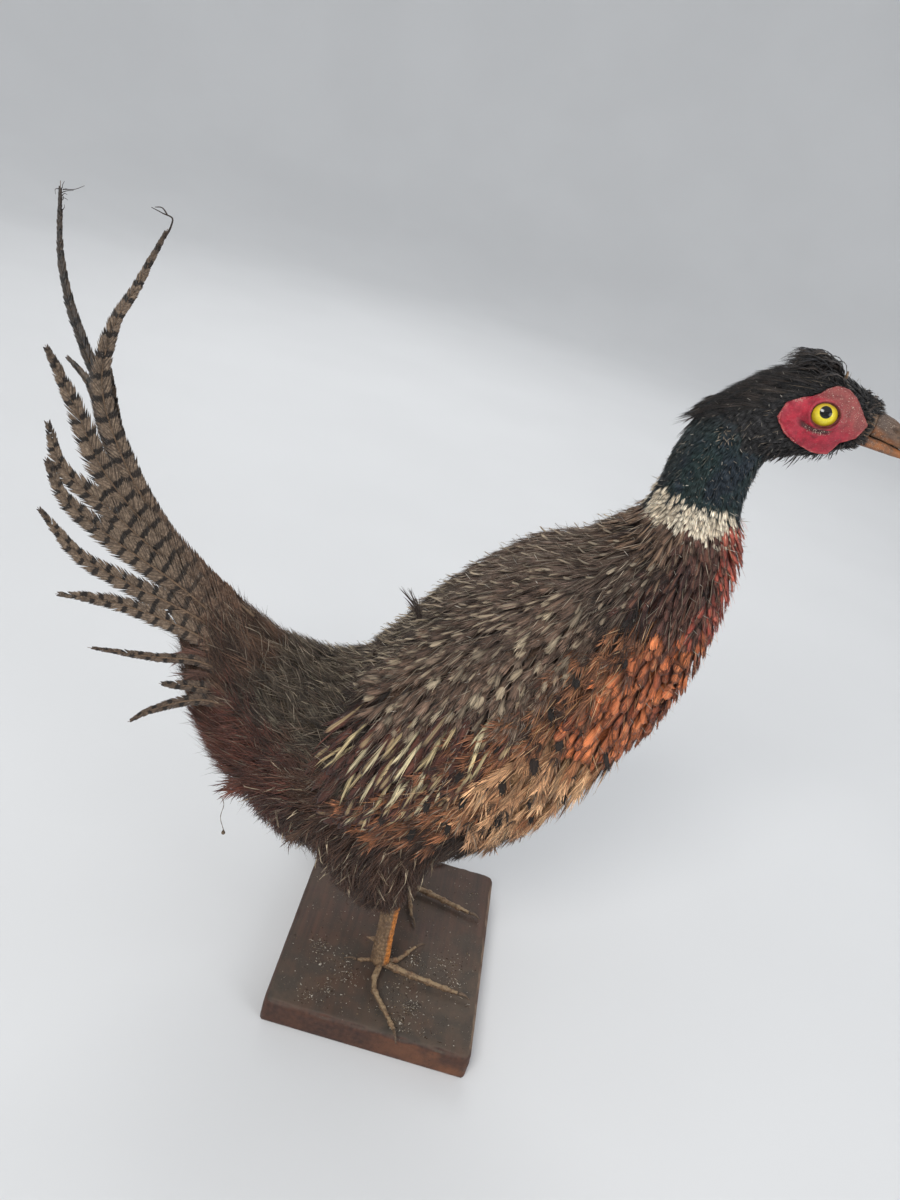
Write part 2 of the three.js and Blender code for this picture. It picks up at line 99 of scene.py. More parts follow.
def select_rim(piece, beyond):
    """Selects the outer edge loop in code."""
    mesh = piece.data
    out = {i for i, v in enumerate(mesh.vertices) if v.co.length > beyond}
    for i, vertex in enumerate(mesh.vertices):
        vertex.select = i in out
    for edge in mesh.edges:
        edge.select = edge.vertices[0] in out and edge.vertices[1] in out
    for face in mesh.polygons:
        face.select = False


def area_light(name, place, aim, size, power, tint=(1, 1, 1)):
    data = bpy.data.lights.new(name, "AREA")
    data.shape = "DISK"
    data.size = size
    data.energy = power
    data.color = tint
    lamp = bpy.data.objects.new(name, data)
    lamp.location = place
    lamp.rotation_euler = (Vector(aim) - Vector(place)).to_track_quat("-Z", "Y").to_euler()
    lamp.visible_camera = False
    bpy.context.scene.collection.objects.link(lamp)


CAMERA_PLACE = (-0.0237, -0.459, 0.470)
CAMERA_PITCH, CAMERA_ROLL = 25.67, 16.47
CAMERA_LENS, CAMERA_SENSOR = 29.13, 36


def build_camera():
    pitch, roll = math.radians(CAMERA_PITCH), math.radians(CAMERA_ROLL)
    ahead = Vector((0, math.cos(pitch), -math.sin(pitch)))
    level_up = Vector((0, math.sin(pitch), math.cos(pitch)))
    level_right = Vector((1, 0, 0))
    right = level_right * math.cos(roll) + level_up * math.sin(roll)
    up = level_up * math.cos(roll) - level_right * math.sin(roll)
    data = bpy.data.cameras.new("camera")
    data.lens = CAMERA_LENS
    data.sensor_width = CAMERA_SENSOR
    data.clip_start = 0.02
    camera = bpy.data.objects.new("camera", data)
    turn = Matrix((right, up, -ahead)).transposed().to_4x4()
    camera.matrix_world = Matrix.Translation(CAMERA_PLACE) @ turn
    bpy.context.scene.collection.objects.link(camera)
    bpy.context.scene.camera = camera


def light_up():
    world = bpy.data.worlds.new("studio")
    bpy.context.scene.world = world
    world.use_nodes = True
    sky = world.node_tree.nodes["Background"].inputs
    sky["Color"].default_value = (0.95, 0.97, 1, 1)
    sky["Strength"].default_value = 0.78
    area_light("key", (-0.7, -1.7, 1.7), (0, 0, 0.22), 0.9, 30, (1, 0.985, 0.96))
    area_light("fill", (1.6, -1.2, 0.9), (0, 0, 0.25), 1.2, 10, (0.97, 0.98, 1))
    area_light("back", (-0.3, 1.7, 1.6), (0, 0, 0.2), 1.2, 13)
    bpy.context.scene.view_settings.view_transform = "Standard"


# ---------------------------------------------------------------- finishes
def colour(red, green, blue):
    """A colour read off a chart as 0 to 255, as linear light."""
    scale = np.array([red, green, blue]) / 255
    return tuple(np.where(scale < 0.04045, scale / 12.92, ((scale + 0.055) / 1.055) ** 2.4))


class Wire:
    """A value in a finish. Arithmetic on it adds the Math nodes."""

    def __init__(self, finish, socket):
        self.finish, self.socket = finish, socket

    def math(self, operation, *others, clamp=False):
        settings = {"operation": operation, "use_clamp": clamp}
        return self.finish.add("ShaderNodeMath", settings, dict(enumerate((self, *others))))

    def __add__(self, other):
        return self.math("ADD", other)

    def __sub__(self, other):
        return self.math("SUBTRACT", other)

    def __mul__(self, other):
        return self.math("MULTIPLY", other)

    def __truediv__(self, other):
        return self.math("DIVIDE", other)

    def __pow__(self, other):
        return self.math("POWER", other)

    def __rsub__(self, other):
        return self.finish.add("ShaderNodeMath", {"operation": "SUBTRACT"}, {0: other, 1: self})

    def __abs__(self):
        return self.math("ABSOLUTE")

    __radd__ = __add__
    __rmul__ = __mul__

    def ramp(self, low, high, start=0.0, end=1.0):
        """Eased from `start` where this is at `low` to `end` where it is at `high`."""
        sockets = {"Value": self, "From Min": low, "From Max": high, "To Min": start, "To Max": end}
        return self.finish.add("ShaderNodeMapRange", {"interpolation_type": "SMOOTHSTEP"}, sockets)


class Finish:
    """A material that is written as expressions."""

    def __init__(self, name, **steady):
        self.material = bpy.data.materials.new(name)
        self.material.use_nodes = True
        self.tree = self.material.node_tree
        self.tree.nodes.clear()
        self.shader = self.tree.nodes.new("ShaderNodeBsdfPrincipled")
        out = self.tree.nodes.new("ShaderNodeOutputMaterial")
        self.tree.links.new(self.shader.outputs[0], out.inputs["Surface"])
        for socket, value in steady.items():
            self.feed(self.shader.inputs[socket.replace("_", " ")], value)

    def feed(self, socket, value):
        if isinstance(value, Wire):
            self.tree.links.new(value.socket, socket)
        elif isinstance(value, tuple) and socket.type == "RGBA":
            socket.default_value = (*value, 1)
        else:
            socket.default_value = value

    def add(self, kind, settings=None, sockets=None, out=0):
        node = self.tree.nodes.new(kind)
        for name, value in (settings or {}).items():
            if name == "stops":
                ramp = node.color_ramp
                while len(ramp.elements) < len(value):
                    ramp.elements.new(1)
                for element, (place, shade) in zip(ramp.elements, value):
                    element.position, element.color = place, (*shade, 1)
            else:
                setattr(node, name, value)
        for name, value in (sockets or {}).items():
            self.feed(node.inputs[name], value)
        if isinstance(out, tuple):
            return tuple(Wire(self, node.outputs[o]) for o in out)
        return Wire(self, node.outputs[out])

    def give(self, **wires):
        for socket, value in wires.items():
            self.feed(self.shader.inputs[socket.replace("_", " ")], value)
        return self

    # short forms of the nodes used most
    def place(self):
        return self.add("ShaderNodeTexCoord", out="Object")

    def attribute(self, name, out="Color"):
        return self.add("ShaderNodeAttribute", {"attribute_name": name}, out=out)

    def parts(self, vector):
        return self.add("ShaderNodeSeparateXYZ", sockets={0: vector}, out=(0, 1, 2))

    def millimetres(self, place):
        return tuple(part * 1000 for part in self.parts(place))

    def vector(self, x, y, z):
        return self.add("ShaderNodeCombineXYZ", sockets={0: x, 1: y, 2: z})

    def noise(self, where, scale, detail=2.0, out=0):
        sockets = {"Vector": where, "Scale": scale, "Detail": detail}
        return self.add("ShaderNodeTexNoise", sockets=sockets, out=out)

    def cells(self, where, scale, feature="F1"):
        sockets = {"Vector": where, "Scale": scale}
        return self.add("ShaderNodeTexVoronoi", {"feature": feature}, sockets, out="Distance")

    def mix(self, share, a, b, blend="MIX"):
        settings = {"data_type": "RGBA", "blend_type": blend, "clamp_factor": True}
        return self.add("ShaderNodeMix", settings, {0: share, 6: a, 7: b}, out=2)

    def shade(self, tint, amount):
        return self.add("ShaderNodeVectorMath", {"operation": "SCALE"}, {0: tint, "Scale": amount})

    def along(self, where, way):
        return self.add("ShaderNodeVectorMath", {"operation": "DOT_PRODUCT"}, {0: where, 1: way}, out="Value")

    def stretch(self, where, scale, shift=(0, 0, 0)):
        return self.add("ShaderNodeMapping", sockets={"Vector": where, "Scale": scale, "Location": shift})

    def bump(self, height, depth, strength=1.0):
        sockets = {"Height": height, "Distance": depth, "Strength": strength}
        return self.add("ShaderNodeBump", sockets=sockets)


DUST = colour(176, 166, 152)
FADED = np.array(colour(170, 154, 134)) * 0.8
PLAIN_MARK = (0.3, 0.27, 0.24, 1.0)


def feather_finish(name, gloss=0.72, sheen=0.08, relief=0.0004, dusty=0.4, soft=1.0):
    """Barbs, shaft streaks, drops, dark rims and tips, drawn on each vane's own measure, with painted shade towards
    each vane's root.
    """
    f = Finish(name, Sheen_Weight=sheen, Sheen_Roughness=0.5, Specular_IOR_Level=0.32)
    tint, seed = f.add("ShaderNodeAttribute", {"attribute_name": "tint"}, out=("Color", "Alpha"))
    mark = f.attribute("mark")
    u, v, rim = f.parts(f.attribute("vane", out="Vector"))
    drop, streak, dark = f.parts(f.attribute("signs"))
    tip = f.attribute("signs", out="Alpha")
    aside = abs(u)
    slant = v * 13 - aside * 4.5
    barbs = f.noise(f.vector(slant * 1.6 + seed * 31, u * 1.3, seed * 17), 1.9, 2.0)
    hairs = f.noise(f.vector(u * 4.5 + seed * 43, v * 1.4 + seed * 5, seed * 9), 1.0, 3.0)
    # painted shade: each vane darkens towards its root, where it tucks under its neighbours; soft weakens it
    worn = (1 - 0.58 * soft) + 0.62 * soft * v.ramp(0, 0.75)
    body = f.shade(tint, worn * hairs.ramp(0.25, 0.75, 1 - 0.42 * soft, 1 + 0.42 * soft))
    body = f.shade(body, barbs.ramp(0.3, 0.7, 1 - 0.2 * soft, 1 + 0.16 * soft))
    wide = (u / 0.56) ** 2 + ((v - 0.7) / 0.25) ** 2 + hairs * 0.6
    core = (u / 0.26) ** 2 + ((v - 0.62) / 0.19) ** 2 + hairs * 0.4
    hollow = core.ramp(1.25, 0.85) * (seed * 5.3).math("FRACT").math("GREATER_THAN", 0.45)
    pale = f.shade(mark, hairs.ramp(0.3, 0.7, 0.72, 1.1))
    body = f.mix(wide.ramp(1.5, 1.12) * drop * (1 - 0.85 * hollow), body, pale)
    thin = aside + (v - 0.5) * -0.22 + hairs * 0.2
    line = thin.ramp(0.36, 0.2) * v.ramp(0.12, 0.3) * v.ramp(1.0, 0.86)
    shaft = (aside + hairs * 0.05).ramp(0.08, 0.03)
    pale = f.shade(mark, hairs.ramp(0.3, 0.7, 0.7, 1.1))
    body = f.mix(line * streak, body, f.mix(shaft * 0.6, pale, f.shade(mark, 0.35)))
    edge = (rim + hairs * 0.3).ramp(0.82, 1.05).math("MAXIMUM", (v + hairs * 0.1).ramp(0.86, 0.97))
    body = f.mix(edge * dark, body, f.shade(tint, 0.22))
    spot = (u / 0.62) ** 2 + ((v - 0.86) / 0.14) ** 2 + hairs * 0.6
    body = f.mix(spot.ramp(1.7, 1.1) * tip, body, colour(26, 20, 18))
    place = f.place()
    grit = f.noise(place, 1400, 2.0).ramp(0.63, 0.72) * f.noise(place, 90, 2.0).ramp(0.35, 0.65, 0.25, 1.0)
    body = f.mix(grit * dusty, body, DUST)
    return f.give(
        Base_Color=body,
        Roughness=gloss + hairs * 0.12,
        Normal=f.bump(hairs * 0.7 + barbs * 0.3, relief),
    ).material


# ---------------------------------------------------------------- pieces
def finished(piece, name, finish, slot, *nodes):
    piece.name = piece.data.name = name
    piece.data.materials.clear()
    piece.data.materials.append(finish)
    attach(piece, "root")
    if nodes:
        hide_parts(*nodes)
    return piece


def copy_of(*names):
    """A new piece from copies of solids, with its loose triangles sewn together."""
    copies = []
    for name in names:
        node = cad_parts[name]
        made = bpy.data.objects.new(name + "_copy", node.data.copy())
        bpy.context.scene.collection.objects.link(made)
        copies.append(made)
    select_only(*copies)
    if len(copies) > 1:
        bpy.ops.object.join()
    made = bpy.context.object
    made.data.materials.clear()
    bpy.ops.object.mode_set(mode="EDIT")
    bpy.ops.mesh.select_all(action="SELECT")
    bpy.ops.mesh.remove_doubles(threshold=2e-6)
    bpy.ops.object.mode_set(mode="OBJECT")
    return made


def applied(piece, kind, **settings):
    select_only(piece)
    modifier = piece.modifiers.new(kind.lower(), kind)
    for name, value in settings.items():
        setattr(modifier, name, value)
    bpy.ops.object.modifier_apply(modifier=modifier.name)
    return piece


def points_of(piece):
    """Every vertex, in millimetres."""
    flat = np.empty(len(piece.data.vertices) * 3, np.float32)
    piece.data.vertices.foreach_get("co", flat)
    return flat.reshape(-1, 3).astype(float) / MM


def normals_of(piece):
    flat = np.empty(len(piece.data.vertices) * 3, np.float32)
    piece.data.vertices.foreach_get("normal", flat)
    return flat.reshape(-1, 3).astype(float)


def fine_copy(node, voxel, factor, iterations):
    """A copy of one solid in small even faces, smoothed, with its points and normals."""
    piece = applied(copy_of(node), "REMESH", mode="VOXEL", voxel_size=voxel)
    applied(piece, "SMOOTH", factor=factor, iterations=iterations)
    return piece, points_of(piece), normals_of(piece)


def reshape(piece, points):
    piece.data.vertices.foreach_set("co", (points * MM).astype(np.float32).ravel())
    piece.data.update()
    return piece


def largest_part(piece):
    """Only the biggest connected shell stays."""
    select_only(piece)
    bpy.ops.mesh.separate(type="LOOSE")
    shells = sorted(bpy.context.selected_objects, key=lambda o: -len(o.data.vertices))
    for shell in shells[1:]:
        bpy.data.objects.remove(shell)
    select_only(shells[0])
    return shells[0]


def smooth_faces(piece, angle=None):
    select_only(piece)
    if angle is None:
        bpy.ops.object.shade_smooth()
    else:
        bpy.ops.object.shade_smooth_by_angle(angle=math.radians(angle))
    return piece


def add_attribute(mesh, name, kind, values):
    layer = mesh.attributes.new(name, kind, "POINT")
    field = {"FLOAT_VECTOR": "vector", "FLOAT": "value"}.get(kind, "color")
    layer.data.foreach_set(field, values.astype(np.float32).ravel())


def new_mesh(name, points, faces):
    mesh = bpy.data.meshes.new(name)
    mesh.vertices.add(len(points))
    mesh.vertices.foreach_set("co", (points * MM).astype(np.float32).ravel())
    mesh.loops.add(faces.size)
    mesh.loops.foreach_set("vertex_index", faces.astype(np.int32).ravel())
    mesh.polygons.add(len(faces))
    mesh.polygons.foreach_set("loop_start", np.arange(0, faces.size, 3, dtype=np.int32))
    mesh.update(calc_edges=True)
    piece = bpy.data.objects.new(name, mesh)
    bpy.context.scene.collection.objects.link(piece)
    return piece


def unit(vectors, least=0.0):
    """Vectors at length 1. `least` keeps a vector of no length finite."""
    return vectors / (np.linalg.norm(vectors, axis=-1, keepdims=True) + least)


def lumps(points, size, seed=0.0):
    """Smooth noise from about -1 to 1, with lumps of about `size` millimetres."""
    return np.array([noise.noise(Vector(p)) for p in points / size + seed])


def ease(value, low, high):
    t = np.clip((value - low) / (high - low), 0, 1)
    return t * t * (3 - 2 * t)


# ---------------------------------------------------------------- the body's own measure
# Centre (x, z), half depth and half width of the body, from the tail coverts to the skull.
STATIONS = np.array([
    (-161, 210, 12, 10), (-141, 192, 23, 20), (-120, 169, 39, 33), (-87, 148, 56, 47),
    (-43, 143, 72, 57), (-2, 170, 70, 58), (25, 213, 68, 57), (48, 252, 60, 52),
    (67, 286, 45, 43), (77, 316, 31, 30), (77, 341, 21.5, 20.7), (78, 361, 20.8, 19),
    (82, 376, 18.5, 15.5), (88, 387, 13, 10),
], float)
BODY_END = len(STATIONS) - 1
LINE_STEPS, SOFTENED_OVER = 40, 12
MEASURED_AT_ONCE = 4000
line_at = np.linspace(0, BODY_END, BODY_END * LINE_STEPS + 1)
line = np.stack([np.interp(line_at, np.arange(BODY_END + 1), STATIONS[:, k]) for k in range(4)], 1)
soften = np.ones(2 * SOFTENED_OVER + 1) / (2 * SOFTENED_OVER + 1)
line = np.stack([np.convolve(np.pad(c, SOFTENED_OVER, mode="edge"), soften, "valid") for c in line.T], 1)
line_ahead = unit(np.gradient(line[:, :2], axis=0))


def degrees_round(points, index, aside):
    """Degrees round the body's line, from how far points lie over it and aside of it."""
    offset = points[:, [0, 2]] - line[index, :2]
    up = np.stack([-line_ahead[index, 1], line_ahead[index, 0]], 1)
    rise = (offset * up).sum(1) / line[index, 2]
    return np.degrees(np.arctan2(rise, aside / line[index, 3]))


def measure(points):
    """For each point: place along the body (0 tail, 13 skull), degrees round it, and index.

    The degrees are 90 on the back and -90 on the belly, the same on both sides.
    """
    index = np.empty(len(points), int)
    for start in range(0, len(points), MEASURED_AT_ONCE):
        block = points[start:start + MEASURED_AT_ONCE]
        gap = ((block[:, None, [0, 2]] - line[None, :, :2]) ** 2).sum(2)
        index[start:start + MEASURED_AT_ONCE] = gap.argmin(1)
    return line_at[index], degrees_round(points, index, np.abs(points[:, 1])), index


def way_of(points, at, turn, index, kind):
    """How the coat lies: back along the body, and down the sides."""
    way = np.stack([-line_ahead[index, 0], np.zeros(len(index)), -line_ahead[index, 1]], 1)

    def lean(share, goal):
        way[:] = way * (1 - share[:, None]) + share[:, None] * np.array(goal)

    def among(*names):
        return np.isin(kind, [NAMES.index(name) for name in names])

    vent = ease(-turn, -5, 35) * ease(at, 1.7, 2.6) * ease(-at, -4.8, -3.6)
    lean(0.45 * vent, (-0.3, 0, -0.95))
    lean(0.85 * ease(turn, 34, 52) * ease(at, 4.9, 5.8) * ease(-at, -9.6, -8.8), (-0.78, 0, -0.63))
    wing = ease(turn, -4, 10) * ease(-turn, -58, -40) * ease(at, 3.5, 4.3) * ease(-at, -7.4, -6.2)
    lean(0.9 * wing, (-0.22, 0, -0.97))
    low = ease(-points[:, 2], -132, -112) * ease(at, 2.6, 3.4) * ease(-at, -6, -5)
    lean(low * ~among("rust", "buff"), (-0.1, 0, -1.0))
    lean(0.9 * among("rust"), (-0.85, 0, -0.52))
    lean(0.85 * among("buff"), (-0.34, 0, -0.94))
    lean(0.6 * among("rust_side"), (-0.6, 0, -0.8))
    lean(ease(points[:, 0], 82, 104) * ease(points[:, 2], 366, 378), (-1.0, 0, -0.12))
    return unit(way)


# ---------------------------------------------------------------- plumage
# Each kind of feather: shape, spacing of the roots, length, half width, height of the tip over
# the skin, how straight it stays, two tints, the colour of its marks, and how often and how
# strongly it wears a drop, a shaft streak, a dark rim and a dark tip.
KINDS = {
    "mantle": dict(shape="loose", gap=2.7, long=13, half=1.8, lift=3.4, stiff=0.15, pale=0.11, loose=0.2,
                   tints=((122, 102, 90), (82, 66, 57)), mark=(186, 172, 154), streak=(0.4, 0.8)),
    "back": dict(shape="loose", gap=2.6, long=11, half=1.7, lift=3.3, stiff=0.15, pale=0.1, loose=0.2,
                 tints=((92, 77, 67), (56, 46, 40)), mark=(186, 172, 150), drop=(0.3, 0.9), streak=(0.2, 0.6)),
    "upper": dict(shape="fray", gap=3.4, long=13, half=2.3, lift=4.6, stiff=0.15, pale=0.1,
                  tints=((120, 99, 86), (82, 65, 55)), mark=(190, 172, 146), drop=(0.14, 0.8), streak=(0.55, 0.85)),
    "scapular": dict(shape="fray", gap=4.0, long=15, half=3.1, lift=5.0, stiff=0.2, pale=0.08,
                     tints=((124, 100, 84), (84, 65, 54)), mark=(194, 176, 148),
                     drop=(0.2, 0.8), streak=(0.3, 0.6), dark=(0.5, 0.5)),
    "covert": dict(shape="covert", gap=6.2, long=33, half=4.0, lift=5.8, stiff=0.22, pale=0.06, loose=0.1,
                   tints=((98, 58, 46), (66, 40, 34)), mark=(190, 168, 126), streak=(0.35, 0.7), dark=(0.3, 0.4)),
    "side": dict(shape="fray", gap=3.2, long=16, half=2.4, lift=5, stiff=0.2, pale=0.12, loose=0.25,
                 tints=((124, 101, 85), (82, 62, 52)), mark=(180, 158, 130), streak=(0.5, 0.7)),
    "rust_side": dict(shape="flank", gap=5.6, long=21, half=4.8, lift=6.0, stiff=0.3, pale=0.04, wild=0.8, loose=0.35,
                      tints=((158, 106, 72), (86, 56, 43)), mark=(196, 140, 92), streak=(0.1, 0.5), tip=(0.4, 0.95)),
    "breast": dict(shape="scale", gap=4.6, long=13, half=3.3, lift=4.8, stiff=0.3, pale=0.0,
                   tints=((224, 130, 78), (140, 72, 46)), mark=(240, 170, 120), streak=(0.25, 0.4), dark=(0.75, 0.85)),
    "front": dict(shape="scale", gap=3.0, long=10, half=1.9, lift=3.6, stiff=0.15, pale=0.03,
                  tints=((196, 96, 76), (122, 56, 48)), mark=(220, 150, 126), streak=(0.4, 0.6), dark=(0.4, 0.6)),
    "shoulder": dict(shape="fray", gap=3.2, long=11, half=2.1, lift=3.8, stiff=0.15, pale=0.05,
                     tints=((104, 70, 60), (62, 41, 37)), mark=(150, 104, 82), streak=(0.3, 0.6), dark=(0.6, 0.6)),
    "underneck": dict(shape="fray", gap=2.8, long=13, half=1.9, lift=3.8, stiff=0.2, pale=0.07,
                      tints=((116, 92, 76), (56, 42, 36)), mark=(166, 138, 112), streak=(0.55, 0.85)),
    "collar": dict(shape="strap", gap=1.55, long=5.8, half=1.05, lift=2.5, stiff=0.2, pale=0.0,
                   tints=((250, 238, 216), (226, 208, 182)), mark=(250, 240, 222), dark=(0.08, 0.3)),
    "neck": dict(shape="tiny", gap=1.75, long=6.0, half=1.35, lift=1.6, stiff=0.08, pale=0.02,
                 tints=((62, 70, 71), (46, 49, 52)), mark=(130, 136, 132), streak=(0.06, 0.5)),
    "head": dict(shape="tiny", gap=1.42, long=4.2, half=0.95, lift=1.0, stiff=0.05, pale=0.02,
                 tints=((60, 59, 60), (42, 42, 44)), mark=(150, 146, 140), streak=(0.05, 0.6)),
    "buff": dict(shape="flank", gap=6.4, long=30, half=6.0, lift=7.4, stiff=0.45, pale=0.05, wild=0.8, loose=0.35,
                 tints=((236, 190, 144), (150, 98, 64)), mark=(240, 208, 166), tip=(0.3, 1)),
    "rust": dict(shape="flank", gap=6.0, long=26, half=6.0, lift=6.4, stiff=0.25, pale=0.05, wild=0.8, loose=0.3,
                 tints=((160, 104, 70), (88, 56, 42)), mark=(206, 150, 104), tip=(0.3, 0.95)),
    "thigh": dict(shape="fluff", gap=3.4, long=16, half=2.5, lift=5.4, stiff=0.45, pale=0.04, loose=0.45,
                  tints=((96, 68, 54), (60, 43, 35)), mark=(190, 170, 140), streak=(0.06, 0.9)),
    "vent": dict(shape="fluff", gap=3.3, long=18, half=2.7, lift=6.5, stiff=0.55, pale=0.03, loose=0.45,
                 tints=((108, 64, 52), (64, 41, 35)), mark=(150, 110, 90), streak=(0.1, 0.5)),
    "rump": dict(shape="fluff", gap=2.9, long=12, half=2.1, lift=5.2, stiff=0.5, pale=0.07, loose=0.5,
                 tints=((98, 86, 72), (58, 49, 41)), mark=(160, 150, 128), drop=(0.1, 0.6), streak=(0.15, 0.5)),
    "tail_base": dict(shape="fluff", gap=2.9, long=23, half=2.3, lift=4.8, stiff=0.55, pale=0.05, loose=0.25,
                      tints=((102, 76, 60), (60, 46, 38)), mark=(150, 124, 100), streak=(0.25, 0.5)),
    "belly": dict(shape="fluff", gap=3.8, long=19, half=2.8, lift=5.4, stiff=0.3, pale=0.04, loose=0.35,
                  tints=((70, 53, 44), (42, 33, 29)), mark=(120, 100, 84), streak=(0.1, 0.5), tip=(0.2, 0.8)),
}
NAMES = list(KINDS)


def kind_of(points, at, turn):
    """Which kind of feather grows at each place."""
    s, a, z = at, turn, points[:, 2]
    kind = np.full(len(s), NAMES.index("belly"))

    def lay(name, where):
        kind[where] = NAMES.index(name)

    top = np.interp(s, [4.0, 4.6, 5.3, 5.8, 6.3, 7.2, 8.0], [30, 40, 36, 27, 13, 9, 22])
    lay("thigh", (s > 3.1) & (s < 5.3) & (a < -20))
    lay("rust", (s > 4.3) & (s <= 6.4) & (a <= 4) & (a > -17))
    lay("rust", (s > 4.9) & (s <= 6.4) & (a <= -17) & (a > -27))
    lay("belly", (s > 4.6) & (s < 6.6) & (a <= -27) & (z > 118))
    lay("buff", (s > 5.25) & (s < 6.55) & (a < -9) & (a > -75))
    lay("side", (s > 6.1) & (s < 7.6) & (a > 2) & (a <= top))
    lay("rust_side", (s > 6.3) & (s < 8.2) & (a <= 7) & (a > -16))
    lay("breast", (s > 6.5) & (s < 8.55) & (a <= -13))
    lay("covert", (s > 3.85) & (s <= 6.25) & (a > 3) & (a <= top))
    lay("scapular", (s > 4.7) & (s <= 8.0) & (a > top) & (a <= 60))
    lay("upper", (s > 6.0) & (s <= 8.2) & (a > top + 26) & (a <= 60))
    lay("mantle", (s > 4.2) & (a > 56))
    lay("mantle", (s > 7.6) & (a > 16))
    lay("back", (s > 4.2) & (s < 6.4) & (a > 56))
    lay("shoulder", (s > 8.1) & (s < 9.6) & (a > -40) & (a <= 16))
    lay("underneck", (s > 8.75) & (s < 9.6) & (a > 8))
    lay("front", (s > 8.3) & (s < 9.85) & (a <= -40))
    lay("rump", (s > 2.1) & (s <= 4.3) & (a > 12))
    lay("thigh", (s > 3.0) & (s <= 4.3) & (a <= 12))
    lay("vent", (s > 2.1) & (s <= 3.35) & (a <= 6))
    lay("tail_base", s <= 2.1)
    lay("collar", (s > 9.6) & (s <= 10.06) & (a > -48) & (a < 74))
    lay("neck", (s > 10.06) | ((s > 9.6) & (a >= 74)) | ((s > 9.85) & (a <= -48)))
    lay("head", (points[:, 0] > 84) & (z > 372) | (s > 12.2))
    return kind


COAT_DEPTH_AT = [0, 1, 3, 8, 9, 10, 12, 13]
COAT_DEPTH = [2.6, 3.4, 4.8, 4.4, 3.2, 2.2, 1.7, 1.4]


def kind_values(kind, pick):
    return np.array([pick(KINDS[name]) for name in NAMES])[kind]


def tints_for(points, kind, spread):
    """A tint for each place, between the kind's two, with slow patches over the body."""
    first = kind_values(kind, lambda k: colour(*k["tints"][0]))
    second = kind_values(kind, lambda k: colour(*k["tints"][1]))
    patch = 0.5 + 0.6 * lumps(points, 14) + spread
    return second + (first - second) * np.clip(patch, 0, 1)[:, None]


def build_skin():
    """One skin over trunk, neck, head, wings and thighs, inside them by the coat's depth."""
    nodes = ["trunk", "rump", "collar", "neck", "head", "crest", "nape_tuft"]
    nodes += [f"{part}_{side}" for part in ("wing", "thigh") for side in SIDES]
    skin = copy_of(*(n for n in nodes if n not in ("crest", "nape_tuft")))
    applied(skin, "REMESH", mode="VOXEL", voxel_size=0.0024)
    skin = largest_part(skin)
    applied(skin, "SMOOTH", factor=0.6, iterations=8)
    points, normals = points_of(skin), normals_of(skin)
    at, _, _ = measure(points)
    depth = np.interp(at, COAT_DEPTH_AT, COAT_DEPTH)
    depth = np.where(points[:, 0] > 92, np.minimum(depth, 1.2), depth)
    depth += 0.35 * lumps(points, 9, 3.7)
    reshape(skin, points - normals * depth[:, None])
    applied(skin, "SMOOTH", factor=0.5, iterations=4)
    smooth_faces(skin)
    points = points_of(skin)
    at, turn, _ = measure(points)
    kind = kind_of(points, at, turn)
    # the coat's tints at 0.6: partly the dull down under the feathers, partly painted shade in the gaps between them
    tint = tints_for(points, kind, 0.0) * 0.6
    crust = ease(points[:, 0], 132.5, 136)[:, None]
    tint = tint * (1 - crust) + np.array(colour(138, 114, 94)) * crust
    add_attribute(skin.data, "tint", "FLOAT_COLOR", np.hstack([tint, np.ones((len(tint), 1))]))

    f = Finish("bare_skin_under_feathers", Specular_IOR_Level=0.2)
    place = f.place()
    down = f.noise(place, 900, 3.0)
    body = f.shade(f.attribute("tint"), down.ramp(0.3, 0.7, 0.45, 1.15))
    f.give(Base_Color=body, Roughness=0.85 + down * 0.1, Normal=f.bump(down, 0.0006))
    finished(skin, "skin", f.material, "body_feathers", *nodes)
    return skin


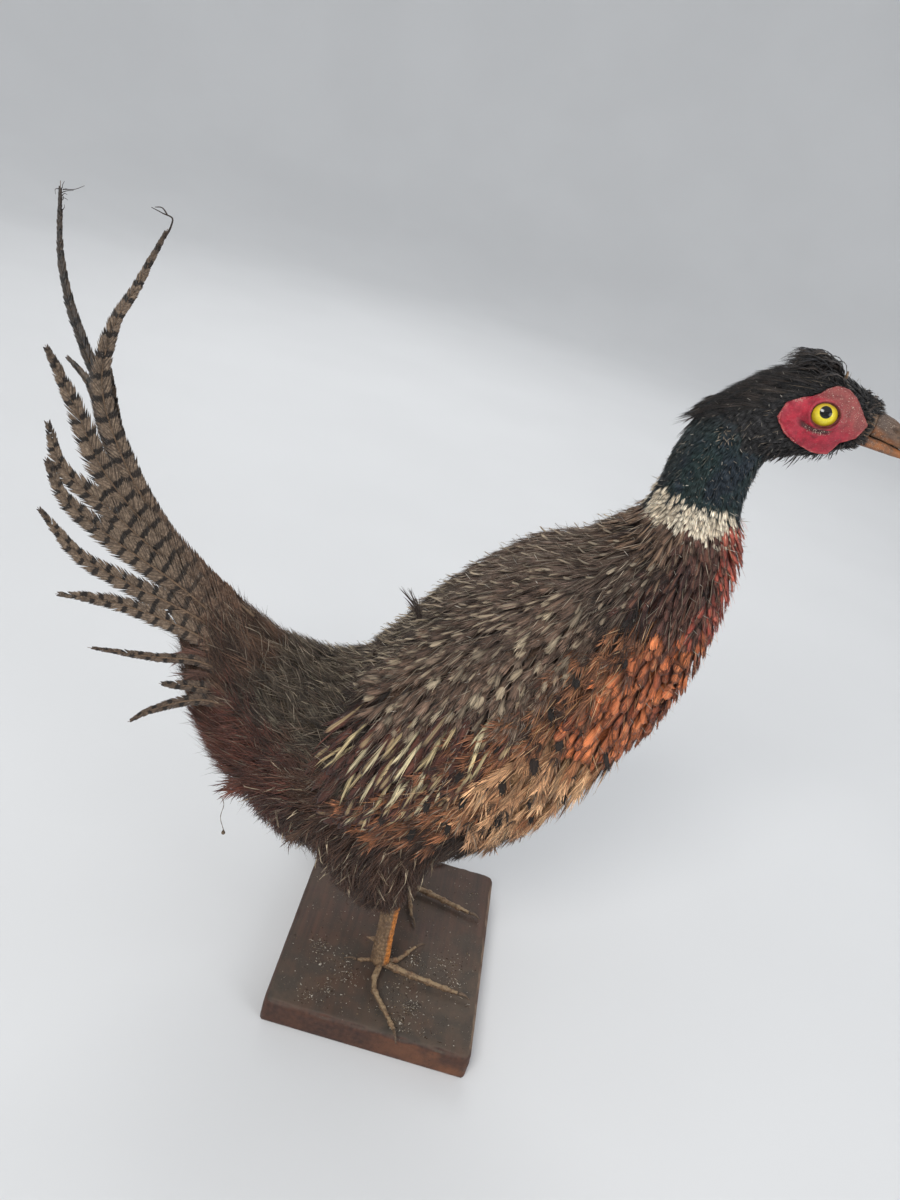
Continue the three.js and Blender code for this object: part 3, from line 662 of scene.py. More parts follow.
# ---------------------------------------------------------------- shapes of feathers
class Shape:
    """A feather's form from closed slivers: points as (half widths across, share along, mm up)."""

    def __init__(self):
        self.points, self.faces, self.stray, self.lock, self.rim, self.hair = [], [], [], [], [], []
        self.locks = 0

    def _ring_faces(self, first, rings):
        for r in range(rings - 1):
            a = first + 3 * r
            for j in range(3):
                k = (j + 1) % 3
                self.faces += [(a + j, a + k, a + 3 + k), (a + j, a + 3 + k, a + 3 + j)]
        self.faces.append((first, first + 2, first + 1))
        a = first + 3 * (rings - 1)
        for j in range(3):
            self.faces.append((a + j, a + (j + 1) % 3, a + 3))

    def vane(self, rows, tip, thick=0.16, ragged=0.2):
        first = len(self.points)
        for v, w in rows:
            for u, h, rim in ((-w, 0, 1), (w, 0, 1), (0, thick, 0)):
                self.points.append((u, v, h))
                self.rim.append(rim)
                self.stray.append(ragged if rim and v > 0.1 else 0)
                self.hair.append(0)
                self.lock.append(self.locks)
                self.locks += 1
        self.points.append((0, tip, 0))
        self.rim.append(0.9)
        self.stray.append(ragged)
        self.hair.append(0)
        self.lock.append(self.locks)
        self.locks += 1
        self._ring_faces(first, len(rows))
        return self

    def wisp(self, start, end, width, thick=0.2, rim=0.5, bow=0.0, shares=((0, 1), (0.55, 0.8))):
        first = len(self.points)
        (u0, v0), (u1, v1) = start, end
        for share, wide in shares:
            u, v = u0 + (u1 - u0) * share ** (1 + bow), v0 + (v1 - v0) * share
            for du, h in ((-0.5, 0), (0.5, 0), (0, thick)):
                self.points.append((u + du * width * wide, v, h))
                self.stray.append(share)
        self.points.append((u1, v1, thick * 0.3))
        self.stray.append(1.15)
        count = 3 * len(shares) + 1
        self.rim += [rim] * count
        self.lock += [self.locks] * count
        self.hair += [1] * count
        self.locks += 1
        self._ring_faces(first, len(shares))
        return self

    def ready(self):
        for name in ("points", "stray", "rim", "hair"):
            setattr(self, name, np.array(getattr(self, name), float))
        self.faces, self.lock = np.array(self.faces), np.array(self.lock)
        return self


def spread(count, low, high):
    return [low + (high - low) * (i + 0.5) / count for i in range(count)]


def make_shapes():
    shapes = {}
    rows = ((0, 0.4), (0.2, 0.78), (0.45, 1), (0.7, 1), (0.87, 0.8), (0.95, 0.5))
    scale = Shape().vane(rows, 0.99, ragged=0.07)
    for u in spread(5, -0.9, 0.9):
        scale.wisp((u * 0.8, 0.66), (u * 0.95, 1.02 - 0.16 * u * u), 0.3, rim=1)
    shapes["scale"] = scale
    strap = Shape().vane(((0, 0.5), (0.4, 0.7), (0.75, 0.55)), 0.95, ragged=0.12)
    for u in spread(4, -1, 1):
        strap.wisp((u * 0.6, 0.1), (u * 1.2, 1.0), 0.5)
    shapes["strap"] = strap
    tiny = Shape()
    for u in spread(5, -1, 1):
        tiny.wisp((u * 0.6, 0.0), (u * 1.1, 1.0), 0.5, thick=0.16)
    shapes["tiny"] = tiny
    fray = Shape().vane(((0, 0.32), (0.25, 0.68), (0.55, 0.8), (0.78, 0.55)), 0.93, ragged=0.16)
    for u in spread(9, -1, 1):
        fray.wisp((u * 0.6, 0.42 + 0.25 * (1 - abs(u))), (u * 1.15, 0.86 + 0.22 * (1 - u * u)), 0.21, rim=0.6)
    shapes["fray"] = fray
    covert = Shape().vane(((0, 0.3), (0.15, 0.6), (0.4, 0.85), (0.65, 0.85), (0.84, 0.6), (0.94, 0.3)), 1.0)
    for side in (-1, 1):
        for i in range(6):
            root = 0.2 + 0.12 * i
            covert.wisp((side * 0.5, root), (side * (1.25 - 0.12 * i), root + 0.26), 0.22, rim=0.8, bow=0.4)
    shapes["covert"] = covert
    loose, hairy = Shape(), Shape()
    for u in spread(8, -1, 1):
        loose.wisp((u * 0.55, 0.02), (u * 1.3, 1.0), 0.28)
        hairy.wisp((u * 0.5, 0.0), (u * 1.2, 1.0), 0.24)
    shapes["loose"], shapes["hairy"] = loose, hairy
    fluff = Shape()
    for i, u in enumerate(spread(7, -1, 1)):
        fluff.wisp((u * 0.4, 0.0), (u * 1.6, 1.0 - 0.15 * (i % 2)), 0.22, bow=0.9 if i % 2 else -0.5,
                   shares=((0, 1), (0.35, 0.9), (0.7, 0.7)))
    shapes["fluff"] = fluff
    squiggle = Shape()
    squiggle.wisp((-0.9, 0.0), (0.0, 0.8), 0.5, thick=0.3, bow=0.8, shares=((0, 0.6), (0.35, 1), (0.7, 0.9)))
    squiggle.wisp((0.9, 0.1), (0.1, 0.9), 0.45, thick=0.3, bow=-0.4, shares=((0, 0.5), (0.35, 1), (0.7, 0.9)))
    squiggle.wisp((0.0, 0.55), (0.3, 1.5), 0.4, thick=0.3, shares=((0, 1), (0.5, 0.8)))
    shapes["squiggle"] = squiggle
    shapes["strand"] = Shape().wisp((0, 0), (0.5, 1), 1.0, thick=0.12, bow=1.0, shares=((0, 1), (0.3, 1), (0.65, 0.8)))
    curl = Shape()
    for u in spread(5, -1, 1):
        curl.wisp((u * 0.5, 0.0), (u * 1.2, 1.0), 0.3, shares=((0, 1), (0.22, 1), (0.42, 0.9), (0.6, 0.75), (0.8, 0.5)))
    shapes["curl"] = curl
    plume = Shape().vane(((0, 0.3), (0.3, 0.5), (0.6, 0.38)), 0.82, ragged=0.2)
    for i, u in enumerate(spread(10, -1, 1)):
        plume.wisp((u * 0.4, 0.15 + 0.3 * (i % 3) / 3), (u * 1.35, 0.98 - 0.12 * (i % 2)), 0.24)
    shapes["plume"] = plume
    flank = Shape().vane(((0, 0.07), (0.3, 0.08), (0.7, 0.05)), 0.97, thick=0.25, ragged=0.02)
    for side in (-1, 1):
        for i in range(17):
            root = 0.04 * i
            reach = (0.42 + 1.1 * root) if root < 0.34 else 0.8 - 0.8 * (root - 0.34)
            flank.wisp((side * 0.02, root), (side * reach, root + 0.46 - 0.16 * root), 0.125, thick=0.13, rim=0.6,
                       bow=-0.12, shares=((0, 1), (0.4, 1), (0.75, 0.75)))
    shapes["flank"] = flank
    lance = Shape().vane(((0, 0.2), (0.2, 0.6), (0.5, 0.9), (0.8, 0.6)), 0.98, thick=0.2, ragged=0.25)
    for u in (-1, 1, -0.4, 0.5):
        lance.wisp((u * 0.3, 0.35 + 0.1 * u), (u * 1.5, 0.85 + 0.1 * u), 0.4)
    shapes["lance"] = lance
    return {name: shape.ready() for name, shape in shapes.items()}


SHAPES = make_shapes()
PATH_ROWS = 5


def along_path(rows, v):
    """Values at share v of paths that are given at even shares, running on past the tip."""
    place = np.clip(v, 0, None) * (rows.shape[1] - 1)
    low = np.clip(np.floor(place).astype(int), 0, rows.shape[1] - 2)
    share = (place - low)[..., None]
    each = np.arange(len(rows))[:, None]
    return rows[each, low] * (1 - share) + rows[each, low + 1] * share


class Growth:
    """Feathers of one shape, before they are joined into a piece."""

    def __init__(self, shape, centres, normals, half, lift, tints, marks, signs, bake, wild=1.0, pale=0.0):
        shape = SHAPES[shape]
        count = len(centres)
        side = unit(np.cross(normals, np.gradient(centres, axis=1)), 1e-12)
        fling = chance.normal(0, 1, (count, shape.locks, 3))[:, shape.lock] * shape.stray[None, :, None]
        u = shape.points[None, :, 0] + 0.3 * wild * fling[..., 0] * np.clip(shape.stray, 0.3, 1)
        v = shape.points[None, :, 1] + 0.07 * wild * fling[..., 1]
        v = np.clip(v, 0, 1.3)
        rise = lift[:, None] * np.clip(v, 0, 1) ** 1.15
        h = shape.points[None, :, 2] + rise + 0.35 * wild * np.abs(fling[..., 2]) * np.minimum(1, lift[:, None] / 3)
        place = along_path(centres, v)
        place = place + along_path(side, np.minimum(v, 1)) * (u * half[:, None])[..., None]
        self.points = place + along_path(normals, np.minimum(v, 1)) * h[..., None]
        self.faces = shape.faces[None] + (np.arange(count) * len(shape.points))[:, None, None]
        each = len(shape.points)
        rim = np.broadcast_to(shape.rim, (count, each))
        self.vane = np.stack([u, v, rim], -1)
        self.tint = np.repeat(tints[:, None], each, 1)
        gain = np.clip(chance.normal(1, 0.3, (count, shape.locks)), 0.45, 1.8)[:, shape.lock]
        self.tint[..., :3] *= (1 + (gain - 1) * shape.hair)[..., None]
        faded = (chance.random((count, shape.locks)) < pale)[:, shape.lock] * shape.hair
        self.tint[..., :3] += (FADED - self.tint[..., :3]) * 0.75 * faded[..., None]
        self.mark = np.repeat(marks[:, None], each, 1)
        self.signs = np.repeat(signs[:, None], each, 1)
        patch = np.stack([np.clip(u, -1, 1) * 0.0015, (np.clip(v, 0, 1) - 0.5) * 0.003], -1)
        self.bake, self.patch = bake, patch


def join_growths(name, growths):
    """One mesh from all of a piece's feathers, with its attributes and its bake map."""
    offset, faces = 0, []
    for g in growths:
        faces.append(g.faces.reshape(-1, 3) + offset)
        offset += g.points.shape[0] * g.points.shape[1]
    faces = np.concatenate(faces)

    def flat(pick, width):
        return np.concatenate([getattr(g, pick).reshape(-1, width) for g in growths])

    piece = new_mesh(name, flat("points", 3), faces)
    add_attribute(piece.data, "vane", "FLOAT_VECTOR", flat("vane", 3))
    for key in ("tint", "mark", "signs"):
        add_attribute(piece.data, key, "FLOAT_COLOR", flat(key, 4))
    low = np.min([g.bake.min(0) for g in growths], 0)
    high = np.max([g.bake.max(0) for g in growths], 0)
    spots = [0.01 + 0.98 * (g.bake - low) / np.maximum(high - low, 1e-9) for g in growths]
    uv = np.concatenate([(s[:, None] + g.patch).reshape(-1, 2) for s, g in zip(spots, growths)])
    layer = piece.data.uv_layers.new(name="OFBake")
    layer.data.foreach_set("uv", uv[faces.ravel()].astype(np.float32).ravel())
    return piece


# ---------------------------------------------------------------- where the feathers grow
FACE_REACH = [19, 14.8, 13.7, 13.2, 13.3, 11.2, 9.6, 10, 12.5, 18, 20.5, 19.3, 17.6, 17, 17.5, 19, 16.6, 18]
EYE_X, EYE_Z = 112.0, 397.0


def face_reach(dx, dz):
    """How far the bare skin reaches from the eye in each direction, with its corners rounded."""
    turn = np.degrees(np.arctan2(dz, dx)) % 360 / 20
    fine = np.interp(np.arange(0, 18, 0.05), range(len(FACE_REACH) + 1), FACE_REACH + FACE_REACH[:1])
    soft = np.convolve(np.tile(fine, 3), np.ones(17) / 17, "same")[360:720]
    return np.interp(turn, np.arange(0, 18.05, 0.05), np.append(soft, soft[0]))


FACE_MORE = [1.17, 1.15, 1.18, 1.1, 1, 1, 1, 1, 1, 1, 1, 1, 1, 1.04, 1.1, 1.1, 1.02, 1.14]


def face_more(dx, dz):
    """How much farther the bare skin spreads towards the bill than its solid."""
    return np.interp(np.degrees(np.arctan2(dz, dx)) % 360 / 20, range(19), FACE_MORE + FACE_MORE[:1])


def on_bare_face(points, margin=0.9):
    """Whether a point lies on the red skin round an eye."""
    dx, dz = points[:, 0] - EYE_X, points[:, 2] - EYE_Z
    ragged = 0.55 * lumps(points, 2.2, 8.0)
    reach = face_reach(dx, dz) * face_more(dx, dz)
    return (np.hypot(dx, dz) < reach - margin + ragged) & (np.abs(points[:, 1]) > 5)


class Hide:
    """The skin as feathers know it: places to root, and the surface to lie along."""

    def __init__(self, skin):
        self.points, self.normals = points_of(skin), normals_of(skin)
        mesh = skin.data
        self.polygons = [tuple(p.vertices) for p in mesh.polygons]
        self.tree = BVHTree.FromPolygons([Vector(p) for p in self.points], self.polygons)
        mesh.calc_loop_triangles()
        flat = np.empty(len(mesh.loop_triangles) * 3, np.int32)
        mesh.loop_triangles.foreach_get("vertices", flat)
        self.triangles = flat.reshape(-1, 3)

    def candidates(self, count):
        a, b, c = (self.points[self.triangles[:, k]] for k in range(3))
        area = np.linalg.norm(np.cross(b - a, c - a), axis=1) / 2
        middle = (a + b + c) / 3
        at, _, _ = measure(middle)
        weight = area * np.where((at > 9.3) | (middle[:, 0] > 84), 7, 1)
        pick = chance.choice(len(area), count, p=weight / weight.sum())
        r1, r2 = np.sqrt(chance.random(count)), chance.random(count)
        share = np.stack([1 - r1, r1 * (1 - r2), r1 * r2], 1)[..., None]
        corners = self.triangles[pick]
        return (self.points[corners] * share).sum(1), unit((self.normals[corners] * share).sum(1))

    def surface(self, place):
        found, _, index, _ = self.tree.find_nearest(place)
        normal = self.normals[list(self.polygons[index])].mean(0)
        return found, normal / np.linalg.norm(normal)

    def lay(self, roots, normals, ways, long, stiff):
        """The line each feather follows, at PATH_ROWS places, and the normals there."""
        count = len(roots)
        centres = np.empty((count, PATH_ROWS, 3))
        uprights = np.empty((count, PATH_ROWS, 3))
        centres[:, 0], uprights[:, 0] = roots, normals
        for i in range(count):
            place, normal, way = roots[i], normals[i], ways[i]
            step = long[i] / (PATH_ROWS - 1)
            for r in range(1, PATH_ROWS):
                way = way - normal * (way @ normal)
                way = way / (np.linalg.norm(way) + 1e-9)
                found, normal = self.surface(Vector(place + way * step))
                place = np.array(found)
                centres[i, r], uprights[i, r] = place, normal
        straight_way = unit(ways - normals * (ways * normals).sum(1)[:, None], 1e-9)
        shares = np.linspace(0, 1, PATH_ROWS)[None, :, None]
        straight = roots[:, None] + straight_way[:, None] * shares * long[:, None, None]
        bend = stiff[:, None, None] * shares
        centres = centres * (1 - bend) + straight * bend
        return centres, unit(uprights * (1 - bend) + normals[:, None] * bend)


CELLS_AROUND = list(itertools.product((-1, 0, 1), repeat=3))


def thin_out(points, kind, gaps):
    """Keeps the places that are at least their kind's gap apart."""
    kept, cells = [], {}
    for i, (x, y, z) in enumerate(points):
        gap = gaps[i]
        cx, cy, cz = int(x // gap), int(y // gap), int(z // gap)
        mine = cells.setdefault(kind[i], {})
        near = (p for dx, dy, dz in CELLS_AROUND for p in mine.get((cx + dx, cy + dy, cz + dz), ()))
        if not any((px - x) ** 2 + (py - y) ** 2 + (pz - z) ** 2 < gap * gap for px, py, pz in near):
            mine.setdefault((cx, cy, cz), []).append((x, y, z))
            kept.append(i)
    return np.array(kept)


def thinned(gap, *lists):
    """The same lists, with only the roots (the first of them) that are at least `gap` apart."""
    kept = thin_out(lists[0], np.zeros(len(lists[0]), int), np.full(len(lists[0]), gap))
    return tuple(values[kept] for values in lists)


def bake_place(points, at, index):
    """A place on an unwrap of the skin: along the body, and the whole way round it."""
    turn = (degrees_round(points, index, points[:, 1]) + 90) % 360
    return np.stack([at / BODY_END, turn / 360], 1)


def signs_for(kind):
    """How strongly each feather wears its drop, streak, dark rim and dark tip."""
    signs = []
    for key in ("drop", "streak", "dark", "tip"):
        often = kind_values(kind, lambda k: k.get(key, (0, 0))[0])
        strong = kind_values(kind, lambda k: k.get(key, (0, 0))[1])
        worn = chance.random(len(kind)) < often
        signs.append(np.where(worn, strong * chance.uniform(0.7, 1, len(kind)), 0.0))
    return np.stack(signs, 1)


COAT_PIECES = {
    "back_feathers": (("back",), "body_feathers", {}),
    "mantle_feathers": (("mantle",), "body_feathers", {}),
    "scapular_feathers": (("scapular", "upper"), "wing_feathers", {}),
    "side_feathers": (("side",), "wing_feathers", {}),
    "covert_feathers": (("covert",), "wing_feathers", {"gloss": 0.6}),
    "breast_feathers": (("breast", "front"), "body_feathers", {"gloss": 0.5, "dusty": 0.2, "soft": 0.6}),
    "shoulder_feathers": (("shoulder", "underneck"), "body_feathers", {}),
    "rusty_feathers": (("rust_side", "rust"), "body_feathers", {"gloss": 0.62, "dusty": 0.2}),
    "flank_feathers": (("buff",), "body_feathers", {"gloss": 0.62, "dusty": 0.15}),
    "belly_feathers": (("belly",), "thigh_feathers", {}),
    "thigh_feathers": (("thigh",), "thigh_feathers", {}),
    "vent_feathers": (("vent",), "thigh_feathers", {}),
    "rump_feathers": (("rump",), "rump_feathers", {}),
    "tail_covert_feathers": (("tail_base",), "rump_feathers", {}),
    "collar_feathers": (("collar",), "white_feathers", {"dusty": 0.1, "soft": 0.55}),
}


BILL_ROOT_END, BILL_ROOT_SIDE = 134.6, 138.0


def grow_coat(hide):
    """Every kind of feather over its own part of the skin, joined into one piece for each few kinds."""
    roots, normals = hide.candidates(COAT_TRIES)
    at, turn, index = measure(roots)
    kind = kind_of(roots, at + chance.normal(0, 0.05, len(at)), turn + chance.normal(0, 3, len(at)))
    lobe = ease(roots[:, 0], 122, 129) * ease(-roots[:, 2], -404, -397)
    bill_root = np.where(np.abs(roots[:, 2] - 396) < 6, BILL_ROOT_END, BILL_ROOT_SIDE)
    keep = ~on_bare_face(roots, 0.9 - 2.6 * lobe) & (roots[:, 0] < bill_root)
    roots, normals, at, turn, index, kind = (a[keep] for a in (roots, normals, at, turn, index, kind))
    kept = thin_out(roots, kind, kind_values(kind, lambda k: k["gap"]))
    roots, normals, at, turn, index, kind = (a[kept] for a in (roots, normals, at, turn, index, kind))
    count = len(kept)
    ways = way_of(roots, at, turn, index, kind)
    aside = np.cross(normals, ways)
    ways = ways + aside * (chance.normal(0, 1, count) * kind_values(kind, lambda k: k.get("loose", 0.15)))[:, None]
    long = kind_values(kind, lambda k: k["long"]) * chance.uniform(0.75, 1.2, count)
    half = kind_values(kind, lambda k: k["half"]) * chance.uniform(0.8, 1.15, count)
    lift = kind_values(kind, lambda k: k["lift"]) * chance.uniform(0.7, 1.15, count)
    stiff = kind_values(kind, lambda k: k["stiff"]) * chance.uniform(0.2, 1.4, count)
    centres, uprights = hide.lay(roots, normals, ways, long, np.clip(stiff, 0, 0.9))
    tints = tints_for(roots, kind, chance.normal(0, 0.3, count))
    tints *= chance.uniform(0.8, 1.2, count)[:, None]
    tints = np.hstack([tints, chance.random((count, 1))])
    marks = kind_values(kind, lambda k: colour(*k["mark"])) * chance.uniform(0.8, 1.1, count)[:, None]
    marks = np.hstack([marks, np.ones((count, 1))])
    signs = signs_for(kind)
    bake = bake_place(roots, at, index)

    def growths(*names):
        made = []
        for name in names:
            mine, look = kind == NAMES.index(name), KINDS[name]
            if mine.any():
                measures = (v[mine] for v in (centres, uprights, half, lift, tints, marks, signs, bake))
                made.append(Growth(look["shape"], *measures, look.get("wild", 1.0), look["pale"]))
        return made

    for piece_name, (kinds, slot, look) in COAT_PIECES.items():
        piece = join_growths(piece_name, growths(*kinds))
        finished(piece, piece_name, feather_finish(piece_name, **look), slot)
    neck = join_growths("neck_feathers", growths("neck"))
    finished(neck, "neck_feathers", neck_finish(), "neck_feathers")
    head = join_growths("head_feathers", growths("head"))
    finished(head, "head_feathers", feather_finish("head_feathers", gloss=0.45, dusty=0.3), "crown_feathers")


def neck_finish():
    """Nearly black, with a dark green and blue iridescent sheen painted into the colour on the sides, and pale flecks
    of dust.
    """
    f = Finish("glossy_neck_feathers", Specular_IOR_Level=0.4, Coat_Roughness=0.35)
    place = f.place()
    _, y, z = f.millimetres(place)
    tint, seed = f.add("ShaderNodeAttribute", {"attribute_name": "tint"}, out=("Color", "Alpha"))
    u, v, _ = f.parts(f.attribute("vane", out="Vector"))
    patch = f.noise(place, 75, 3.0)
    # painted sheen: green to blue iridescence laid into the base colour, strongest on the sides of the neck
    gloss = f.mix(patch.ramp(0.42, 0.6), colour(48, 72, 70), colour(48, 59, 70))
    side = abs(y).ramp(6, 14) * z.ramp(328, 344) * z.ramp(384, 368)
    body = f.mix((side * 0.7 + 0.1) * patch.ramp(0.3, 0.55, 0.5, 1.0), tint, gloss)
    hairs = f.noise(f.vector(u * 3 + seed * 31, v * 2, seed * 7), 1.0, 2.0)
    # painted shade: each feather darker towards its root, where it tucks under its neighbours
    body = f.shade(body, (0.4 + 0.7 * v.ramp(0, 0.8)) * hairs.ramp(0.3, 0.7, 0.6, 1.35))
    grit = f.noise(place, 1100, 2.0).ramp(0.66, 0.74)
    body = f.mix(grit * 0.7, body, DUST)
    return f.give(
        Base_Color=body,
        Metallic=0.05 + 0.15 * v * side,
        Roughness=0.5 + hairs * 0.2,
        Normal=f.bump(hairs, 0.0002),
    ).material


# ---------------------------------------------------------------- tail
RIDGE = np.array([(-119, 208), (-188, 243), (-217, 302), (-227, 398)], float)
FIRST_LEAF, LEAF_PITCH, LEAF_SLOPE = 1.4, 1.9, 0.35
ROOT_X = -108
# Root height, breadth, and the path in the side view from root to tip, per side.
TAIL = {
    "central": (199, 12, [(-179, 244), (-217, 305), (-217, 338), (-206, 362), (-192, 393)],
                [(-181, 239), (-229, 313), (-244, 339), (-252, 362), (-255, 396)]),
    "second": (194, 17, [(-172, 234), (-210, 268), (-229, 300), (-244, 325)],
               [(-176, 230), (-213, 268), (-232, 303), (-247, 313)]),
    "third": (190, 17, [(-166, 225), (-205, 251), (-228, 267), (-238, 289)], [(-174, 228), (-211, 277), (-221, 316)]),
    "fourth": (186, 16, [(-160, 217), (-200, 237), (-224, 253), (-236, 272)], [(-162, 214), (-201, 239), (-221, 266)]),
    "fifth": (184, 13, [(-148, 204), (-187, 216), (-212, 226), (-235, 247)],
              [(-148, 206), (-184, 221), (-206, 236), (-222, 258)]),
    "sixth": (179, 12, [(-142, 195), (-178, 204), (-203, 206), (-219, 205)], [(-142, 198), (-172, 212), (-196, 228)]),
    "seventh": (173, 6, [(-140, 184), (-167, 182), (-198, 181)], [(-140, 188), (-164, 196), (-182, 208)]),
    "eighth": (169, 8, [(-136, 172), (-159, 170)], [(-136, 175), (-158, 182)]),
    "outer": (164, 7, [(-134, 167), (-158, 157), (-169, 148)], [(-134, 169), (-155, 165), (-168, 160)]),
}


CURVE_POINTS = 400
CURVE_LAST = CURVE_POINTS - 1


def curve_through(points, count=CURVE_POINTS):
    """A centripetal curve through the points, at even steps of its length, and that length."""
    p = np.array(points, float)
    p = np.vstack([2 * p[0] - p[1], p, 2 * p[-1] - p[-2]])
    out = []
    for i in range(1, len(p) - 2):
        quad = p[i - 1:i + 3]
        knots = np.concatenate([[0], np.cumsum(np.sqrt(np.linalg.norm(np.diff(quad, axis=0), axis=1)))])
        t = np.linspace(knots[1], knots[2], 60, endpoint=i == len(p) - 3)[:, None]

        def between(a, b, ta, tb):
            return (a * (tb - t) + b * (t - ta)) / (tb - ta)

        a = [between(quad[k], quad[k + 1], knots[k], knots[k + 1]) for k in range(3)]
        b = [between(a[k], a[k + 1], knots[k], knots[k + 2]) for k in range(2)]
        out.append(between(b[0], b[1], knots[1], knots[2]))
    out = np.vstack(out)
    gone = np.concatenate([[0], np.cumsum(np.linalg.norm(np.diff(out, axis=0), axis=1))])
    even = np.linspace(0, gone[-1], count)
    return np.stack([np.interp(even, gone, out[:, k]) for k in range(out.shape[1])], 1), gone[-1]


def bezier(ctrl, count):
    t = np.linspace(0, 1, count)[:, None]
    a, b, c, d = ctrl
    return a * (1 - t) ** 3 + 3 * b * t * (1 - t) ** 2 + 3 * c * t * t * (1 - t) + d * t ** 3


RIDGE_LINE = bezier(RIDGE, 60)


def leaf_offset(flat, leaf):
    """How far a tail feather lies from the bird's midline, at points of the side view."""
    near = np.sqrt(((flat[..., None, :] - RIDGE_LINE) ** 2).sum(-1)).min(-1)
    return FIRST_LEAF + leaf * LEAF_PITCH + LEAF_SLOPE * near


def sliver_mesh(spines, widths, thick, sides):
    """Closed slivers: spines (n, rows, 3), widths (n, rows), and the direction across each."""
    n, rows = spines.shape[:2]
    out = unit(np.cross(np.gradient(spines, axis=1), sides), 1e-12)
    left = spines[:, :-1] - sides[:, :-1] * widths[:, :-1, None] / 2
    right = spines[:, :-1] + sides[:, :-1] * widths[:, :-1, None] / 2
    crown = spines[:, :-1] + out[:, :-1] * thick
    rings = np.stack([left, right, crown], 2).reshape(n, -1, 3)
    points = np.concatenate([rings, spines[:, -1:]], 1)
    faces = []
    for r in range(rows - 2):
        a = 3 * r
        for j in range(3):
            k = (j + 1) % 3
            faces += [(a + j, a + k, a + 3 + k), (a + j, a + 3 + k, a + 3 + j)]
    faces.append((0, 2, 1))
    a = 3 * (rows - 2)
    faces += [(a + j, a + (j + 1) % 3, a + 3) for j in range(3)]
    return points, np.array(faces)


VANE_START, BARB_PITCH = 0.12, 0.85
BARB_SHARES = np.array([0, 0.35, 0.7, 1.0])
BARB_WIDTHS = np.array([1.2, 1.25, 1.0, 0.0])
SHAFT_ROWS = 60


